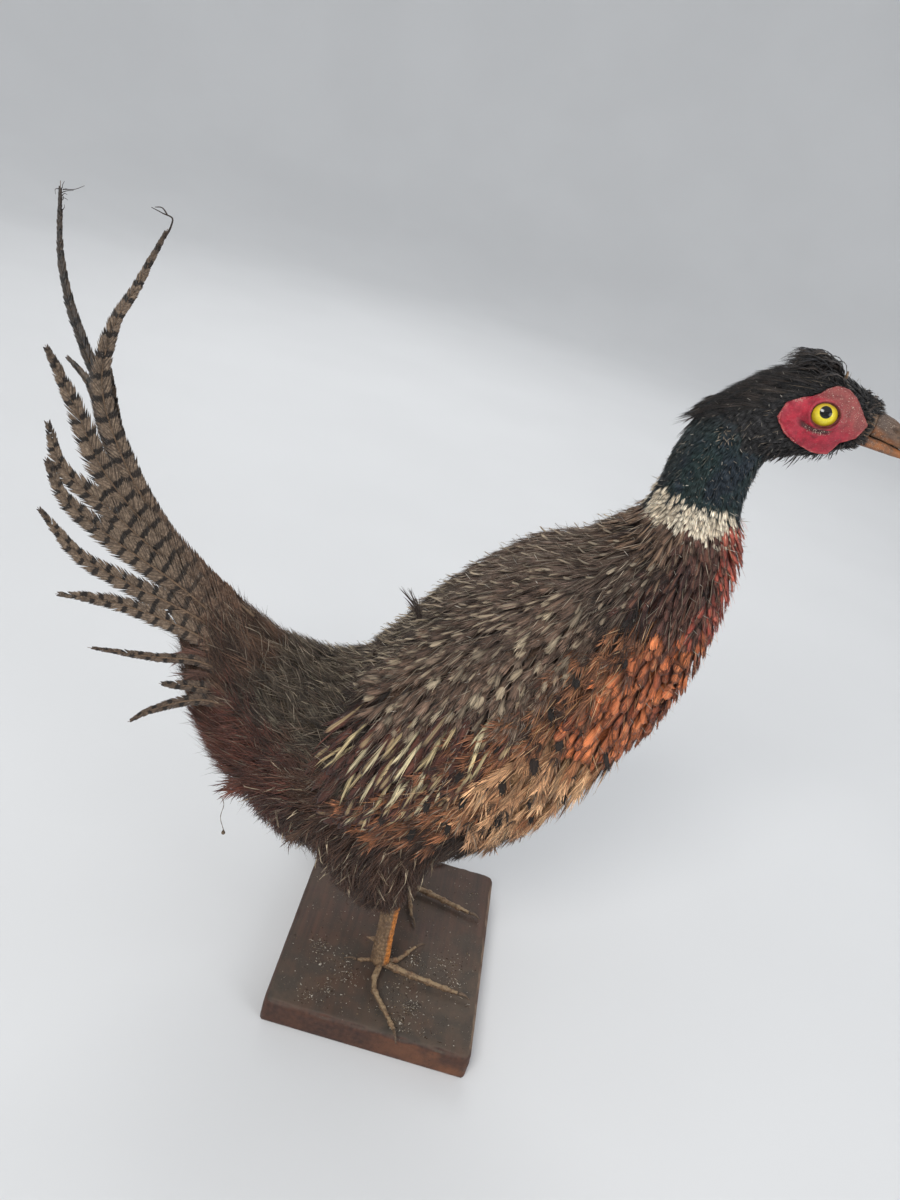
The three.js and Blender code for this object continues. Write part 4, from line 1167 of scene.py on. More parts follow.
def tail_feather(name, side, sign, leaf):
    """One long feather: clumped barbs on both sides of a shaft, within its own leaf of the fan."""
    root, breadth, *paths = TAIL[name]
    path = paths[0 if sign == RIGHT else 1]
    quill, length = curve_through([(ROOT_X, root), *path])
    ahead = unit(np.gradient(quill, axis=0))
    across = np.stack([-ahead[:, 1], ahead[:, 0]], 1)
    places = np.arange(VANE_START * length, length - 2, BARB_PITCH)
    spines, widths, sides, us, arcs, seeds = [], [], [], [], [], []
    old = name == "central" and sign == LEFT
    for half in (-1, 1):
        clump = 0.0
        for s in places:
            t = s / length
            swell = min(1, 0.5 + 2 * t) * (1 - max(0.0, (t - 0.35) / 0.65) ** 1.7 * 0.88)
            if chance.random() < 0.05 + 0.25 * max(0.0, t - 0.6):
                clump = chance.normal(0, 0.24)
            clump *= 0.8
            if chance.random() < 0.03 + 0.22 * max(0.0, t - 0.75) / 0.25 * (0.4 + old):
                continue
            lean = math.radians(38 - 12 * t) * (1 + 0.5 * clump) + chance.normal(0, 0.03)
            reach = breadth / 2 * swell / math.sin(max(lean, 0.3)) * chance.uniform(0.86, 1.06)
            reach *= 1 + 0.5 * max(0.0, clump)
            i = int(t * CURVE_LAST)
            way = ahead[i] * math.cos(lean) + across[i] * half * math.sin(lean)
            bend = ahead[i] * 0.1 * reach
            shares = BARB_SHARES[:, None]
            flat = quill[i] + way * shares * reach + bend * shares ** 2
            y = leaf_offset(flat, leaf) + chance.uniform(-0.28, 0.28) + 0.1 * half
            spines.append(np.stack([flat[:, 0], sign * y, flat[:, 1]], 1))
            widths.append(BARB_WIDTHS * chance.uniform(0.8, 1.15))
            sides.append(np.tile((-way[1], 0, way[0]), (4, 1)))
            us.append(half * BARB_SHARES * min(1.0, swell))
            arcs.append(s + reach * (math.cos(lean) + 0.1) * BARB_SHARES * 0.9)
            seeds.append(chance.random())
    spines, widths, sides = np.array(spines), np.array(widths), np.array(sides)
    points, faces = sliver_mesh(spines, widths, 0.32 * -sign, sides)
    if sign == LEFT:
        faces = faces[:, ::-1]
    n, each = points.shape[:2]
    row_of = np.array([0, 0, 0, 1, 1, 1, 2, 2, 2, 3])
    us, arcs = np.array(us)[:, row_of], np.array(arcs)[:, row_of]
    vane = np.stack([us, arcs, np.broadcast_to(np.array(seeds)[:, None], us.shape)], -1)
    all_faces = (faces[None] + (np.arange(n) * each)[:, None, None]).reshape(-1, 3)
    vane, points = vane.reshape(-1, 3), points.reshape(-1, 3)

    # the shaft, a four-sided rod that thins towards the tip
    at = np.linspace(int(VANE_START * CURVE_LAST) - 20, CURVE_LAST, SHAFT_ROWS).astype(int)
    centre = quill[at]
    y = leaf_offset(centre, leaf)
    thick = np.interp(np.linspace(0, 1, SHAFT_ROWS), [0, 0.3, 1], [0.95, 0.7, 0.16])
    ring = []
    for du, dy in ((-1, 0), (0, -1), (1, 0), (0, 1)):
        flat = centre + across[at] * (du * thick)[:, None]
        ring.append(np.stack([flat[:, 0], sign * (y + dy * thick + 0.15), flat[:, 1]], 1))
    shaft = np.stack(ring, 1).reshape(-1, 3)
    shaft_faces = []
    for r in range(SHAFT_ROWS - 1):
        for j in range(4):
            a, b = 4 * r + j, 4 * r + (j + 1) % 4
            shaft_faces += [(a, b, b + 4), (a, b + 4, a + 4)]
    end = 4 * (SHAFT_ROWS - 1)
    shaft_faces += [(0, 2, 1), (0, 3, 2), (end, end + 1, end + 2), (end, end + 2, end + 3)]
    shaft_faces = np.array(shaft_faces)
    if sign == LEFT:
        shaft_faces = shaft_faces[:, ::-1]
    gone = np.repeat(at / CURVE_LAST * length, 4)
    shaft_vane = np.stack([np.full(len(shaft), 9.0), gone, np.full(len(shaft), 0.5)], -1)
    all_faces = np.concatenate([all_faces, shaft_faces + len(points)])
    points = np.concatenate([points, shaft])
    vane = np.concatenate([vane, shaft_vane])

    piece = new_mesh("tail", points, all_faces)
    add_attribute(piece.data, "vane", "FLOAT_VECTOR", vane)
    u, v = vane[:, 0], vane[:, 1] / length
    u = np.where(np.abs(u) > 2, 0.02 * np.tile([-1, 0, 1, 0], len(u))[:len(u)], u)
    spot = np.stack([0.5 + 0.48 * np.clip(u, -1, 1), 0.01 + 0.98 * np.clip(v, 0, 1)], 1)
    layer = piece.data.uv_layers.new(name="OFBake")
    layer.data.foreach_set("uv", spot[all_faces.ravel()].astype(np.float32).ravel())
    node = f"tail_{name}_{side}"
    finished(piece, f"{node}_vane", tail_finish(name, side, leaf, length), "tail_feathers", node)


def tail_finish(name, side, leaf, length):
    """Greyish buff crossed by black bars, darker and redder near the root."""
    f = Finish(f"tail_{name}_{side}", Sheen_Weight=0.08, Specular_IOR_Level=0.32)
    u, arc, seed = f.parts(f.attribute("vane", out="Vector"))
    aside = abs(u)
    place = f.place()
    wobble = f.noise(place, 120, 2.0) * 3.4 + f.noise(f.vector(seed * 90, 0, 0), 1, 0) * 1.6
    number = {"central": 10.5, "second": 9.4, "third": 9.0}.get(name, 8.4)
    phase = 2.9 * leaf + (3.1 if side == "left" else 0)
    step = u.math("GREATER_THAN", 0.0) * (1.4 + 0.5 * leaf)
    beat = ((arc + wobble + step + phase) / number).math("FRACT")
    bar = beat.ramp(0.05, 0.12) * beat.ramp(0.42, 0.33)
    hairs = f.noise(f.vector(arc * 0.9 + seed * 40, aside * 1.5, seed * 9), 1.0, 3.0)
    cloud = f.noise(place, 45, 3.0)
    share = arc / length
    buff = f.mix(share.ramp(0.1, 0.5), colour(92, 70, 56), colour(112, 95, 80))
    buff = f.mix(cloud.ramp(0.4, 0.65) * 0.55, buff, colour(78, 64, 54))
    buff = f.mix(hairs.ramp(0.4, 0.75) * 0.6, buff, colour(140, 122, 102))
    if (name, side) == ("central", "left"):
        buff = f.mix(0.75, buff, colour(52, 44, 39))
    if name in ("seventh", "eighth", "outer"):
        buff = f.mix(0.55, buff, colour(64, 50, 42))
    buff = f.mix(share.ramp(0.5, 0.12) * 0.5, buff, colour(104, 72, 54))
    weak = share.ramp(0.12, 0.5, 0.15, 1.0) * aside.ramp(1.0, 0.8, 0.55, 1.0)
    body = f.mix(bar * weak * 0.94, buff, colour(28, 23, 21))
    body = f.mix(share.ramp(0.9, 0.99) * 0.6, body, colour(46, 39, 35))
    body = f.mix(aside.math("GREATER_THAN", 3.0), body, colour(104, 84, 66))
    grit = f.noise(place, 1300, 2.0).ramp(0.64, 0.72) * cloud.ramp(0.35, 0.6)
    body = f.mix(grit * 0.45, body, DUST)
    uneven = 0.8 + 0.4 * f.noise(f.vector(seed * 60, 0, 0), 1, 0)
    return f.give(
        Base_Color=f.shade(body, hairs.ramp(0.2, 0.8, 0.62, 1.3) * uneven),
        Roughness=0.62 + 0.15 * hairs,
        Normal=f.bump(hairs, 0.0002),
    ).material


def build_tail():
    for leaf, name in enumerate(TAIL):
        for side, sign in SIDES.items():
            tail_feather(name, side, sign, leaf)


# ---------------------------------------------------------------- crest and cap
def grow_plumes(name, paths, upright, half, lift, tints, shape, finish, slot, *nodes, wild=1.0, pale=0.0):
    """Plumes along given paths (n, rows, 3), as one piece."""
    n = len(paths)
    tint = np.array([colour(*t) for t in tints])
    pick = tint[chance.integers(0, len(tint), n)] * chance.uniform(0.75, 1.2, n)[:, None]
    growth = Growth(
        shape, paths, upright, np.full(n, half) * chance.uniform(0.7, 1.2, n),
        np.full(n, lift), np.hstack([pick, chance.random((n, 1))]),
        np.tile(PLAIN_MARK, (n, 1)), np.zeros((n, 4)), paths[:, 0, [0, 2]], wild, pale,
    )
    return finished(join_growths(name, [growth]), name, finish, slot, *nodes)


def bowed(root, knee, over, end, rows=9):
    """Cubic paths through the air, at even shares."""
    t = np.linspace(0, 1, rows)[None, :, None]
    path = (1 - t) ** 3 * root[:, None] + 3 * t * (1 - t) ** 2 * knee[:, None]
    return path + 3 * t * t * (1 - t) * over[:, None] + t ** 3 * end[:, None]


DARK_HAIR = ((66, 61, 59), (50, 48, 48), (80, 71, 66), (42, 42, 44))


def build_cap(hide):
    """The crest's tuft, and the long dark feathers that lie back from it to the nape."""
    finish = feather_finish("cap_feathers", gloss=0.55, dusty=0.3)
    n = 300
    root = np.stack([chance.uniform(104, 119, n), chance.normal(0, 3.4, n), np.zeros(n)], 1)
    root[:, 2] = 411.0 - 0.05 * root[:, 1] ** 2 - 0.3 * np.abs(root[:, 0] - 112)
    rise = chance.uniform(0.45, 1.0, n)
    knee = root + np.stack([chance.normal(0.5, 1.2, n), chance.normal(0, 1.0, n), 10.5 * rise], 1)
    over = root + np.stack([-8 * rise + chance.normal(0, 1.5, n), chance.normal(0, 2.4, n), 13.5 * rise], 1)
    reach = chance.uniform(0.5, 1.0, n)
    end = root + np.stack([-16 * reach, chance.normal(0, 3.4, n), 9.5 * rise * chance.uniform(0.1, 1.0, n)], 1)
    paths = bowed(root, knee, over, end)
    upright = np.broadcast_to(np.array([0.3, 0, 0.95]), paths.shape).copy()
    grow_plumes("crest_plumes", paths, upright, 1.2, 0.3, DARK_HAIR, "curl", finish,
                "crown_feathers", "crest", pale=0.02)

    roots, normals = hide.candidates(LOOSE_TRIES)
    x, z = roots[:, 0], roots[:, 2]
    cap = (z > 379 + (x - 58) * 0.42) & (x < 116) & (x > 58) & (normals[:, 2] + 0.4 * np.abs(normals[:, 1]) > 0.1)
    cap &= ~on_bare_face(roots, -0.5)
    roots, normals = thinned(1.75, roots[cap], normals[cap])
    n = len(roots)
    tufts = np.array([lumps(roots, 7, 2.0 + k) for k in range(2)])
    ways = np.tile((-1.0, 0, 0.0), (n, 1)) + chance.normal(0, 0.1, (n, 3))
    ways[:, 1] += 0.5 * tufts[0]
    ways[:, 2] -= 0.35 * ease(-roots[:, 0], -92, -70)
    long = chance.uniform(9, 20, n)
    stiff = np.clip(chance.uniform(0.1, 0.4, n) + 0.35 * np.maximum(tufts[1], 0), 0, 0.85)
    stiff = np.clip(stiff + 0.5 * ease(-roots[:, 0], -76, -66), 0, 0.85)
    paths, upright = hide.lay(roots, normals, ways, long, stiff)
    grow_plumes("cap_plumes", paths, upright, 1.2, 2.4, DARK_HAIR, "hairy", finish,
                "crown_feathers", "nape_tuft", pale=0.015)

    # short bristles round the root of the bill and under the chin
    roots, normals = hide.candidates(LOOSE_TRIES)
    x, z = roots[:, 0], roots[:, 2]
    front = (x > 129) & (x < np.where(np.abs(z - 396) < 6, 135.2, 138.6))
    chin = (x > 96) & (x <= 136) & (z < 388) & (normals[:, 2] < -0.35)
    pick = (front | chin) & ~on_bare_face(roots, 0.5)
    roots, normals, front = roots[pick], normals[pick], front[pick]
    kept = thin_out(roots, front.astype(int), np.where(front, 1.0, 2.0))
    roots, normals, front = roots[kept], normals[kept], front[kept]
    n = len(roots)
    ways = np.where(front[:, None], (1.0, 0, -0.1), (-0.7, 0, -0.7)) + chance.normal(0, 0.22, (n, 3))
    long = np.where(front, chance.uniform(1.6, 3.6, n), chance.uniform(2.4, 5.4, n))
    long *= 1 + 0.7 * (np.abs(roots[:, 0] - 112 - 18 * (roots[:, 1] > 0)) < 2.2) * ~front
    ways = unit(ways + normals * np.where(front, 0.05, 0.35)[:, None])
    shares = np.linspace(0, 1, PATH_ROWS)[None, :, None]
    paths = roots[:, None] + ways[:, None] * shares * long[:, None, None]
    paths += normals[:, None] * 0.3 + normals[:, None] * shares * (1 - shares) * 1.6
    upright = np.repeat(normals[:, None], PATH_ROWS, 1)
    grow_plumes("bristles", paths, upright, 0.6, 0.5, DARK_HAIR[1:], "tiny", finish, "crown_feathers", pale=0.05)


# ---------------------------------------------------------------- loose strands and strays
def roots_among(hide, names, gap, keep=None):
    """Places among feathers of the named kinds, with all that a growth needs to know of them."""
    roots, normals = hide.candidates(LOOSE_TRIES)
    at, turn, index = measure(roots)
    kind = kind_of(roots, at, turn)
    pick = np.isin(kind, [NAMES.index(name) for name in names]) & ~on_bare_face(roots, -1)
    if keep is not None:
        pick &= keep(roots, at, turn)
    return thinned(gap, *(v[pick] for v in (roots, normals, at, turn, index, kind)))


def strands_over(hide, names, gap, long, half, lift, tint, shape, stiff, loose, keep=None):
    """Thin things that lie on top of the coat."""
    roots, normals, at, turn, index, kind = roots_among(hide, names, gap, keep)
    n = len(roots)
    ways = way_of(roots, at, turn, index, kind)
    ways = ways + np.cross(normals, ways) * chance.normal(0, loose, n)[:, None]
    lengths = chance.uniform(0.6, 1.25, n) * long
    paths, upright = hide.lay(roots, normals, ways, lengths, np.full(n, stiff) * chance.uniform(0.3, 1.5, n))
    pick = np.array([colour(*t) for t in tint])[chance.integers(0, len(tint), n)]
    pick = pick * chance.uniform(0.7, 1.15, n)[:, None]
    return Growth(
        shape, paths + upright * 1.4, upright, np.full(n, half) * chance.uniform(0.7, 1.3, n),
        np.full(n, lift) * chance.uniform(0.7, 1.2, n), np.hstack([pick, chance.random((n, 1))]),
        np.tile(PLAIN_MARK, (n, 1)), np.zeros((n, 4)), bake_place(roots, at, index),
    )


DUSTY = ((168, 150, 130), (140, 118, 100), (190, 174, 152), (112, 92, 78))


# Kinds it lies on, gap, length, half width, lift, tints, shape, how straight, how loose,
# and for some a test of where: place, measure along the body and degrees round it.
STRANDS = [
    # fine bleached barbs over the whole coat
    (("mantle", "back", "upper", "scapular", "side"), 2.9, 11, 0.3, 3.6, DUSTY, "strand", 0.1, 0.3),
    (("covert", "underneck", "shoulder"), 3.6, 12, 0.3, 5.4, DUSTY, "strand", 0.2, 0.25),
    (("rump", "tail_base"), 3.2, 12, 0.28, 4.2, DUSTY[1:], "strand", 0.5, 0.6),
    (("tail_base", "vent"), 2.6, 25, 0.34, 5.0, ((124, 84, 68), (100, 70, 58), (82, 58, 48)),
     "strand", 0.8, 0.5, lambda p, at, turn: turn < 20),
    (("belly", "thigh", "vent"), 4.0, 13, 0.3, 5.6, ((120, 96, 78), (92, 70, 56)), "strand", 0.6, 0.6),
    (("buff", "rust", "rust_side"), 4.0, 17, 0.34, 7.0,
     ((236, 196, 150), (206, 150, 100), (176, 112, 70)), "strand", 0.5, 0.5),
    (("breast", "front"), 5.0, 8, 0.3, 4.6, ((240, 176, 130), (206, 120, 86)), "strand", 0.3, 0.3),
    # curled pale barbs on the thighs and the rump
    (("thigh", "belly", "vent"), 9.5, 6.5, 0.8, 6.0, ((196, 178, 150), (166, 146, 120)),
     "squiggle", 0.5, 0.9, lambda p, at, turn: (at > 3.0) & (at < 4.7) & (turn < 2) & (turn > -55)),
    (("rump", "back"), 6.0, 4.5, 0.7, 4.6, ((176, 162, 138), (150, 136, 112)),
     "squiggle", 0.3, 0.5, lambda p, at, turn: (turn > 40) & (at > 2.6) & (at < 6.2)),
    # pale shaft streaks on the wing and drops on the back
    (("covert",), 7.6, 31, 1.2, 6.0, ((206, 186, 142), (186, 164, 124), (216, 200, 162)), "lance", 0.12, 0.13),
    (("scapular",), 10.5, 10.5, 2.0, 5.0, ((172, 156, 132), (146, 130, 110), (124, 106, 90)), "fray", 0.12, 0.25),
    (("mantle", "back"), 7.0, 5.5, 0.85, 4.6, ((172, 156, 134), (148, 132, 112)), "scale", 0.15, 0.2),
    # black tips on the flank
    (("buff", "rust", "rust_side"), 17.0, 7.0, 2.4, 8.6, ((34, 29, 26), (44, 35, 30)),
     "fray", 0.3, 0.4, lambda p, at, turn: turn > -46),
]
LINT = [
    (("neck", "head"), 4.2, 1.3, 0.3, 1.6, ((190, 184, 172), (150, 140, 126)), "strand", 0.2, 1.5),
    (NAMES[:12], 7.5, 1.6, 0.35, 5.2, ((206, 198, 184), (170, 158, 140)), "strand", 0.2, 1.5),
    (("neck", "head"), 1.1, 2.2, 0.3, 1.8, ((186, 170, 148), (156, 138, 116)),
     "strand", 0.4, 0.8, lambda p, at, turn: (np.hypot(p[:, 0] - 76, p[:, 2] - 375) < 3.4) & (p[:, 1] < 0)),
]


def build_strands(hide):
    finish = feather_finish("loose_barbs", dusty=0.1, soft=0.5)
    for name, rows in (("loose_barbs", STRANDS), ("lint", LINT)):
        growths = [strands_over(hide, *row) for row in rows]
        finished(join_growths(name, growths), name, finish, "body_feathers")


def stray_feather(root, tip, bend, shape, half, lift, tint):
    """One feather out of place, from root to tip and bent by `bend`."""
    root, tip, bend = (np.array(v, float) for v in (root, tip, bend))
    share = np.linspace(0, 1, 7)[:, None]
    path = (root + (tip - root) * share + bend * 4 * share * (1 - share))[None]
    side_on = np.array([0.1, -1.0, 0.2])
    upright = np.broadcast_to(side_on / np.linalg.norm(side_on), path.shape).copy()
    colours = np.array([[*colour(*tint), 0.5]])
    return Growth(shape, path, upright, np.array([half]), np.array([lift]), colours,
                  np.array([PLAIN_MARK]), np.zeros((1, 4)), np.array([[root[0], root[2]]]), 0.8)


def rod(points, widths, sides=8):
    """A closed round rod through points, as points and triangles."""
    points, widths = np.array(points, float), np.array(widths, float)
    ahead = unit(np.gradient(points, axis=0))
    across = unit(np.cross(ahead, (0.2, 0.97, 0.13)))
    beside = np.cross(ahead, across)
    turn = np.linspace(0, 2 * np.pi, sides, endpoint=False)
    rings = [
        p + w * (np.cos(turn)[:, None] * a + np.sin(turn)[:, None] * b)
        for p, w, a, b in zip(points, widths, across, beside)
    ]
    faces = []
    for r in range(len(rings) - 1):
        for j in range(sides):
            a, b = sides * r + j, sides * r + (j + 1) % sides
            faces += [(a, b, b + sides), (a, b + sides, a + sides)]
    last = sides * (len(rings) - 1)
    for j in range(1, sides - 1):
        faces += [(0, j + 1, j), (last, last + j, last + j + 1)]
    return np.concatenate(rings), np.array(faces)


def round_piece(name, path, widths, finish, slot, sides=8):
    points, faces = rod(path, widths, sides)
    piece = applied(new_mesh(name, points, faces), "SUBSURF", levels=1, render_levels=1)
    return finished(smooth_faces(piece), name, finish, slot)


# Root on the coat in the side view, side, way from root to tip, bend, half width, tint.
STRAYS = [
    ((-96, 122), RIGHT, (-21, -5, -8), (0, 0, 2), 5.2, (104, 60, 48)),
    ((-98, 127), RIGHT, (-20, -5, -9), (0, 0, 3), 4.6, (88, 54, 44)),
    ((-60, 118), RIGHT, (-12, -6, -16), (-2, 0, 0), 4.4, (78, 58, 46)),
    ((-133, 186), RIGHT, (-26, -5, -7), (0, 0, 4), 4.8, (108, 76, 64)),
    ((-129, 178), RIGHT, (-25, -4, -8), (0, 0, 3), 4.4, (92, 66, 56)),
    ((-30, 130), LEFT, (-14, 6, -16), (-2, 0, 0), 4.4, (150, 104, 70)),
]
QUILLS = {
    "neck_quill": ([(67, -9, 318), (64, -10.5, 321), (58, -12, 322.5), (54, -12.5, 324)], (0.9, 1.1, 1.0, 0.8)),
    "neck_quill_two": ([(68, -4, 318), (62, -5, 321.5), (56, -6, 322)], (0.7, 0.8, 0.6)),
    "crest_quill": ([(118.5, -3.2, 407), (118.6, -3.7, 410), (118.2, -4, 413.5), (117.9, -4.1, 416)],
                    (0.5, 0.75, 0.7, 0.5)),
}
THREAD_LENGTH = 25


def build_strays(hide):
    """Feathers, quills and a thread of dust that stand clear of the coat."""
    finish = feather_finish("stray_feathers", dusty=0.5, soft=0.8)

    def on_coat(x, z, side=RIGHT):
        far = Vector((x, side * 120.0, z))
        found, _, _, _ = hide.tree.ray_cast(far, Vector((0, -side, 0)))
        return np.array(found if found else (x, side * 5.0, z))

    root = np.array([-33.0, -10, 230])
    growths = [stray_feather(root, root + (-17, -4, 27), (3, 0, 1), "flank", 3.2, 0.5, (66, 54, 48))]
    for (x, z), side, way, bend, half, tint in STRAYS:
        root = on_coat(x, z, side)
        growths.append(stray_feather(root, root + way, bend, "flank", half, 1.0, tint))
    finished(join_growths("stray_feathers", growths), "stray_feathers", finish, "body_feathers")

    f = Finish("old_quill", Specular_IOR_Level=0.4)
    fine = f.noise(f.place(), 1200, 3.0)
    horn = f.mix(fine.ramp(0.35, 0.65), colour(150, 126, 98), colour(96, 76, 60))
    f.give(Base_Color=horn, Roughness=0.5 + 0.2 * fine)
    for name, (path, widths) in QUILLS.items():
        round_piece(name, path, widths, f.material, "bill_horn")

    f = Finish("dust_thread", Specular_IOR_Level=0.2)
    fine = f.noise(f.place(), 1500, 3.0)
    dust = f.mix(fine.ramp(0.35, 0.65), colour(128, 112, 94), colour(70, 58, 48))
    f.give(Base_Color=dust, Roughness=0.9 + 0.05 * fine)
    top = on_coat(*STRAYS[0][0]) + (-17, -4, -9)
    share = np.linspace(0, 1, 22)
    sway = np.stack([4 * share + 0.8 * np.sin(share * 9), 0.6 * np.sin(share * 7), -THREAD_LENGTH * share], 1)
    knot = 1.3 * ease(share, 0.86, 0.95) * ease(-share, -1.02, -0.97)
    widths = 0.13 + 0.12 * np.abs(np.sin(share * 17)) + knot
    round_piece("dust_thread", top + sway, widths, f.material, "body_feathers", 6)

    # the curled bare shaft at one central tip, and the shreds at the other
    f = Finish("bare_shaft", Specular_IOR_Level=0.3)
    fine = f.noise(f.place(), 1300, 2.0)
    f.give(Base_Color=f.mix(fine, colour(60, 49, 42), colour(36, 30, 27)), Roughness=0.6 + 0.2 * fine)
    tips = []
    hook, _ = curve_through([(-193, 389), (-190.8, 394.5), (-190.4, 398), (-195.5, 398.8), (-200.5, 400)], 26)
    fork, _ = curve_through([(-193, 398.6), (-196, 401), (-199, 400.5)], 10)
    side_off = leaf_offset(np.array([[-192, 393]]), 0)[0]
    for path, base in ((hook, 0.58), (fork, 0.42)):
        y = -side_off + 0.5 * np.sin(np.arange(len(path)) * 0.4)
        tips.append(rod(np.stack([path[:, 0], y, path[:, 1]], 1), np.linspace(base, 0.16, len(path)), 6))
    side_off = leaf_offset(np.array([[-255, 396]]), 0)[0]
    for _ in range(14):
        start = np.array([-254 + chance.uniform(-1.2, 1.2), chance.uniform(382, 396)])
        goal = start + chance.normal(0, 1, 2) * (3.2, 1.6) + (0.6, 1.5)
        middle = (start + goal) / 2 + chance.normal(0, 0.7, 2)
        path, _ = curve_through([start, middle, goal], 8)
        path[:, 1] = np.minimum(path[:, 1], 421)
        y = np.full(8, side_off + chance.uniform(-0.8, 0.8))
        tips.append(rod(np.stack([path[:, 0], y, path[:, 1]], 1), np.linspace(0.22, 0.1, 8), 4))
    offset, points, faces = 0, [], []
    for made, drawn in tips:
        points.append(made)
        faces.append(drawn + offset)
        offset += len(made)
    piece = new_mesh("bare_shafts", np.concatenate(points), np.concatenate(faces))
    finished(piece, "bare_shafts", f.material, "tail_feathers")


# ---------------------------------------------------------------- eyes, bare face and bill
EYE_RADIUS = 8.0
LID_RING, LID_THICKNESS = 6.35, 0.62


def build_eye(side, sign):
    """A glass eye with its iris and pupil, and the point that it is centred on."""
    node = f"eye_{side}"
    low, high = (np.array(c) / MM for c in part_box(node))
    middle = (low + high) / 2
    select_only()
    bpy.ops.mesh.primitive_uv_sphere_add(segments=48, ring_count=32, radius=EYE_RADIUS * MM)
    eye = bpy.context.object
    points = points_of(eye)
    points[:, 1], points[:, 2] = points[:, 2].copy(), points[:, 1].copy()
    points[:, 1] *= sign
    points[:, 2] *= 0.84
    far = np.hypot(points[:, 0], points[:, 2] / 0.9)
    front = points[:, 1] * sign > 0
    points[:, 1] += np.where(front, sign * 0.35 * (1 - ease(far, 0, 6.5)), 0)
    reshape(eye, points + middle)
    select_only(eye)
    bpy.ops.object.mode_set(mode="EDIT")
    bpy.ops.mesh.select_all(action="SELECT")
    bpy.ops.mesh.normals_make_consistent(inside=False)
    bpy.ops.object.mode_set(mode="OBJECT")
    smooth_faces(eye)

    f = Finish(f"glass_eye_{side}", Coat_Weight=0.45, Coat_Roughness=0.02, Specular_IOR_Level=0.3)
    x, _, z = f.parts(f.place())
    dx, dz = (x - middle[0] * MM) * 1000, (z - middle[2] * MM) * 1000
    away = (dx ** 2 + (dz * 1.04) ** 2) ** 0.5
    off_pupil = ((dx + 0.5) ** 2 + ((dz - 1.55) * 1.04) ** 2) ** 0.5
    rays = f.noise(f.vector(dx.math("ARCTAN2", dz) * 3, away * 0.4, 0), 2.0, 3.0)
    iris = f.mix(away.ramp(2.6, 5.4), colour(232, 216, 52), colour(206, 180, 44))
    iris = f.mix(rays.ramp(0.4, 0.75) * 0.4, iris, colour(196, 160, 36))
    # painted shade: the upper part of the iris darker and browner, under the lid
    iris = f.mix((dz - dx * 0.2).ramp(1.5, 5.5) * 0.45, iris, colour(176, 140, 66))
    eye_colour = f.mix(off_pupil.ramp(2.85, 2.6), iris, colour(6, 6, 7))
    eye_colour = f.mix(away.ramp(5.4, 5.8), eye_colour, colour(34, 22, 18))
    f.give(Base_Color=eye_colour, Roughness=0.1 + 0.1 * rays)
    finished(eye, f"glass_{node}", f.material, "glass_eye", node)
    return middle


